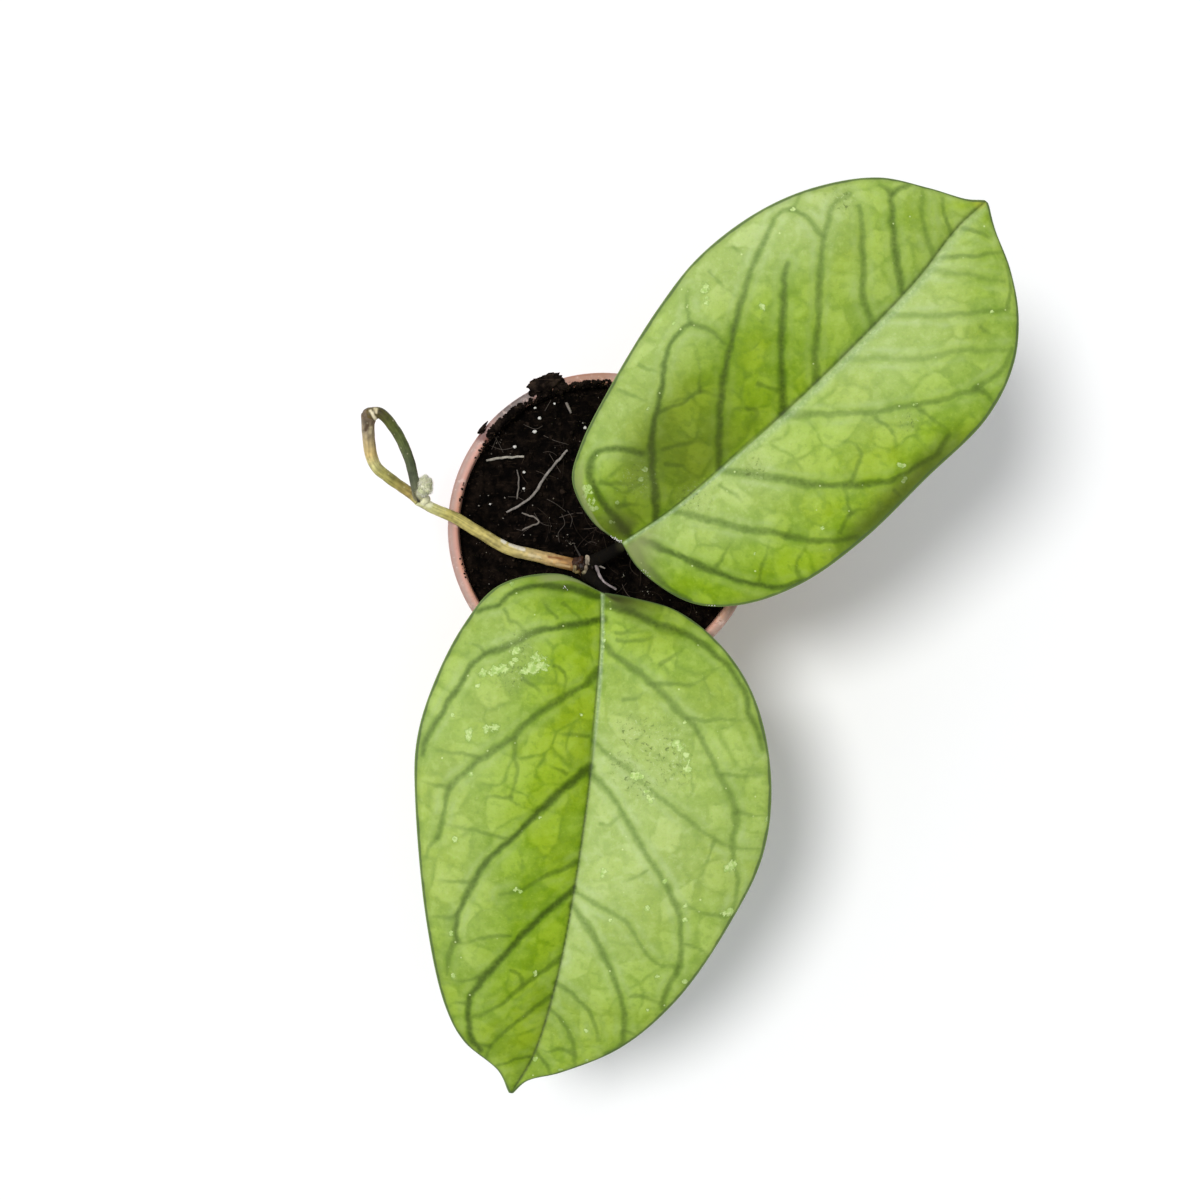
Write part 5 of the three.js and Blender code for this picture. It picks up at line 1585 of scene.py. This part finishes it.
for number_of_root, (radius, route, wavy, tone) in enumerate(DRY_ROOTS, 1):
    shares = np.linspace(0, 1, max(24, int(line_length(route) * 4)))
    line = smooth_line(level(route), shares)
    line[:, 0] += wavy * hills(line, 1.3, 420 + number_of_root)
    line[:, 1] += wavy * hills(line, 1.3, 430 + number_of_root)
    line[:, 2] = soil_under(line[:, 0], line[:, 1]) + radius + 0.3
    thick = radius * (1 + 0.12 * hills(line, 2.2, 400 + number_of_root) - 0.2 * np.abs(2 * shares - 1) ** 6)
    rings = tube_rings(line, thick, ROOT_SIDES)
    flat, centre = rings.reshape(-1, 3), np.repeat(line, ROOT_SIDES, axis=0)
    flat = centre + (flat - centre) * (1 + 0.25 * hills(flat, 0.5, 410 + number_of_root))[:, None]
    root_points, root_faces = closed_tube(flat.reshape(rings.shape))
    root_tint = np.tile(linear(tone), (len(line), 1))
    root_tint[:, :3] *= 1 + 0.35 * hills(line, 1.1, 440 + number_of_root)[:, None]
    make_piece(f"dry_root_end_{number_of_root}", root_points, root_faces, DRY_FIBRE, "dry_root",
               (f"dry_root_{number_of_root}",), tube_values(root_tint, ROOT_SIDES))

# %% Perlite
# Place in plan, half width and half depth
PERLITE = [(-16.3, 28.3, 0.42, 0.38), (-17.6, 24.9, 0.58, 0.36), (-22.8, 21.1, 0.42, 0.4),
           (-20.4, 14.5, 0.42, 0.36), (-20.5, 10.3, 0.34, 0.3), (-29.2, 6.3, 0.3, 0.26),
           (-12.5, 32.1, 0.34, 0.3), (-4.6, 25.9, 0.44, 0.4), (-17.5, 31, 0.36, 0.3)]
PERLITE_GRID = (12, 18)


def perlite_material():
    """Expanded volcanic glass: chalky white, full of tiny pits, matt."""
    material, tree, place = new_material("expanded_perlite")
    pits = grain(tree, place, 0.25, 4, 0.7)
    colour = mixed(tree, between(tree, pits, 0.35, 0.6), "#a8a49b", "#e4e2dc")
    return finished(material, {"Base Color": colour, "Roughness": 0.9, "Specular IOR Level": 0.3},
                    pits, strength=0.7, depth=0.12)


CHALKY = perlite_material()
for number_of_grain, (x, y, wide, deep) in enumerate(PERLITE, 1):
    z = soil_under(np.array([x]), np.array([y]))[0] + deep + 0.2
    grain_shape = lump([x, y, z], (wide, deep, deep), *PERLITE_GRID, 500 + number_of_grain, 0.3, 0.45)
    make_piece(f"perlite_grain_{number_of_grain}", *grain_shape, CHALKY, "perlite",
               (f"perlite_{number_of_grain}",))

# %% Lumps of peat on the lip
# Place in plan, and half sizes along the rim, across it and up
LIP_LUMPS = [((-31.2, 25.5), (1.9, 0.55, 0.6)), ((-15.2, 37.2), (4.3, 1.9, 1.1))]
CLOD_GRID = (40, 60)
for number_of_lump, ((x, y), radii) in enumerate(LIP_LUMPS, 1):
    clod_points, clod_faces = lump([0, 0, 0], radii, *CLOD_GRID, 600 + number_of_lump, 0.3, 1.1)
    clod_points *= (1 + 0.12 * hills(clod_points, 0.5, 610 + number_of_lump))[:, None]
    clod_points = clod_points @ turn_about_z(math.atan2(-x, y)) + (x, y, LIP_TOP + 0.85 * radii[2])
    make_piece(f"peat_clod_{number_of_lump}", clod_points, clod_faces, CRUMB_PEAT, "soil",
               (f"soil_lump_{number_of_lump}",))

# %% [markdown]
# ## Dried sap and dust on the leaves
#
# Where the blade joins its stalk, and here and there along the margin, dried sap has set in small white
# flakes, as chalky as the perlite and in the same finish.

# %% Dried sap
SAP_STREAKS = [
    # leaf, from and to along and across it, number of flakes, largest size
    ("leaf_upper", (-0.9, 3.1), (0.4, 0.1), 22, 0.34), ("leaf_upper", (-1.1, -8.3), (-0.3, -10.6), 12, 0.26),
    ("leaf_upper", (4.5, -26.5), (5.8, -27.9), 8, 0.22), ("leaf_lower", (0.6, -8.6), (0.5, -10.2), 6, 0.22),
]


def on_face(leaf, places):
    """The nearest points of a close grid over a leaf's upper face, for places along and across it."""
    plan, height, _, _ = leaf_surface(leaf, np.linspace(0.002, 0.998, 240), np.linspace(-1, 1, 161))
    grid = np.column_stack([plan.reshape(-1, 2), height.ravel()])
    nearest = [np.linalg.norm(grid[:, :2] - place, axis=1).argmin() for place in places]
    return in_place(leaf, grid[nearest])


sap_draw = np.random.default_rng(702)
sap_centres, sap_sizes = [], []
for leaf_name, start, end, count, largest in SAP_STREAKS:
    flakes = np.array(start) + np.outer(sap_draw.random(count), np.subtract(end, start))
    sap_centres.append(on_face(LEAVES[leaf_name], flakes + sap_draw.normal(0, 0.22, (count, 2))))
    sap_sizes.append(largest * sap_draw.uniform(0.35, 1, count))
make_piece("dried_sap", *strewn(np.vstack(sap_centres), np.concatenate(sap_sizes), 701), CHALKY, "perlite")

# %% [markdown]
# ## Light and floor
#
# Plain soft studio light. One broad lamp high up, a little to the upper left, throws the soft shadow at the
# lower right. The room's white walls give the rest, a little more of it from the upper left. The floor is
# white paper.

# %% Light and floor
scene = bpy.context.scene
scene.view_settings.view_transform = "Standard"
LAMP_DIRECTION = (-0.27, 0.17, 1)
LAMP_WIDTH_IN_DEGREES = 16
LAMP_STRENGTH = 1.86
LAMP_COLOUR = (0.995, 1, 0.985)
BRIGHT_WALL = (-0.66, 0.3, 0.69)
ROOM_COLOUR = (0.935, 0.94, 1, 1)
ROOM_STRENGTH = (0.36, 0.76)   # away from the bright wall and towards it
FLOOR_HALF = 2.5               # metres
FLOOR_HEIGHT = -0.0001         # metres, just under the pot

lamp_light = bpy.data.lights.new("high_lamp", "SUN")
lamp_light.angle = math.radians(LAMP_WIDTH_IN_DEGREES)
lamp_light.energy = LAMP_STRENGTH
lamp_light.color = LAMP_COLOUR
lamp = bpy.data.objects.new("high_lamp", lamp_light)
toward = np.array(LAMP_DIRECTION) / np.linalg.norm(LAMP_DIRECTION)
lamp.rotation_euler = (0, math.acos(toward[2]), math.atan2(toward[1], toward[0]))
scene.collection.objects.link(lamp)

world = bpy.data.worlds.new("studio")
world.use_nodes = True
tree = world.node_tree
direction = add(tree, "ShaderNodeTexCoord").outputs["Generated"]
facing = add(tree, "ShaderNodeVectorMath", {0: direction, 1: BRIGHT_WALL}, operation="DOT_PRODUCT")
strength = between(tree, facing.outputs["Value"], -0.2, 1.0, *ROOM_STRENGTH)
tree.nodes["Background"].inputs["Color"].default_value = ROOM_COLOUR
tree.links.new(strength, tree.nodes["Background"].inputs["Strength"])
scene.world = world
print("lamp toward:", toward.round(2))

paper = finished(new_material("matt_white_paper")[0], {
    "Base Color": linear("#f8f8f8"), "Roughness": 0.95, "Specular IOR Level": 0.1})
floor_mesh = bpy.data.meshes.new("floor")
floor_plan = FLOOR_HALF * np.array([(-1, -1), (1, -1), (1, 1), (-1, 1)])
floor_corners = [(x, y, FLOOR_HEIGHT) for x, y in floor_plan.tolist()]
floor_mesh.from_pydata(floor_corners, [], [(0, 1, 2, 3)])
floor_mesh.materials.append(paper)
floor = bpy.data.objects.new("floor", floor_mesh)
scene.collection.objects.link(floor)
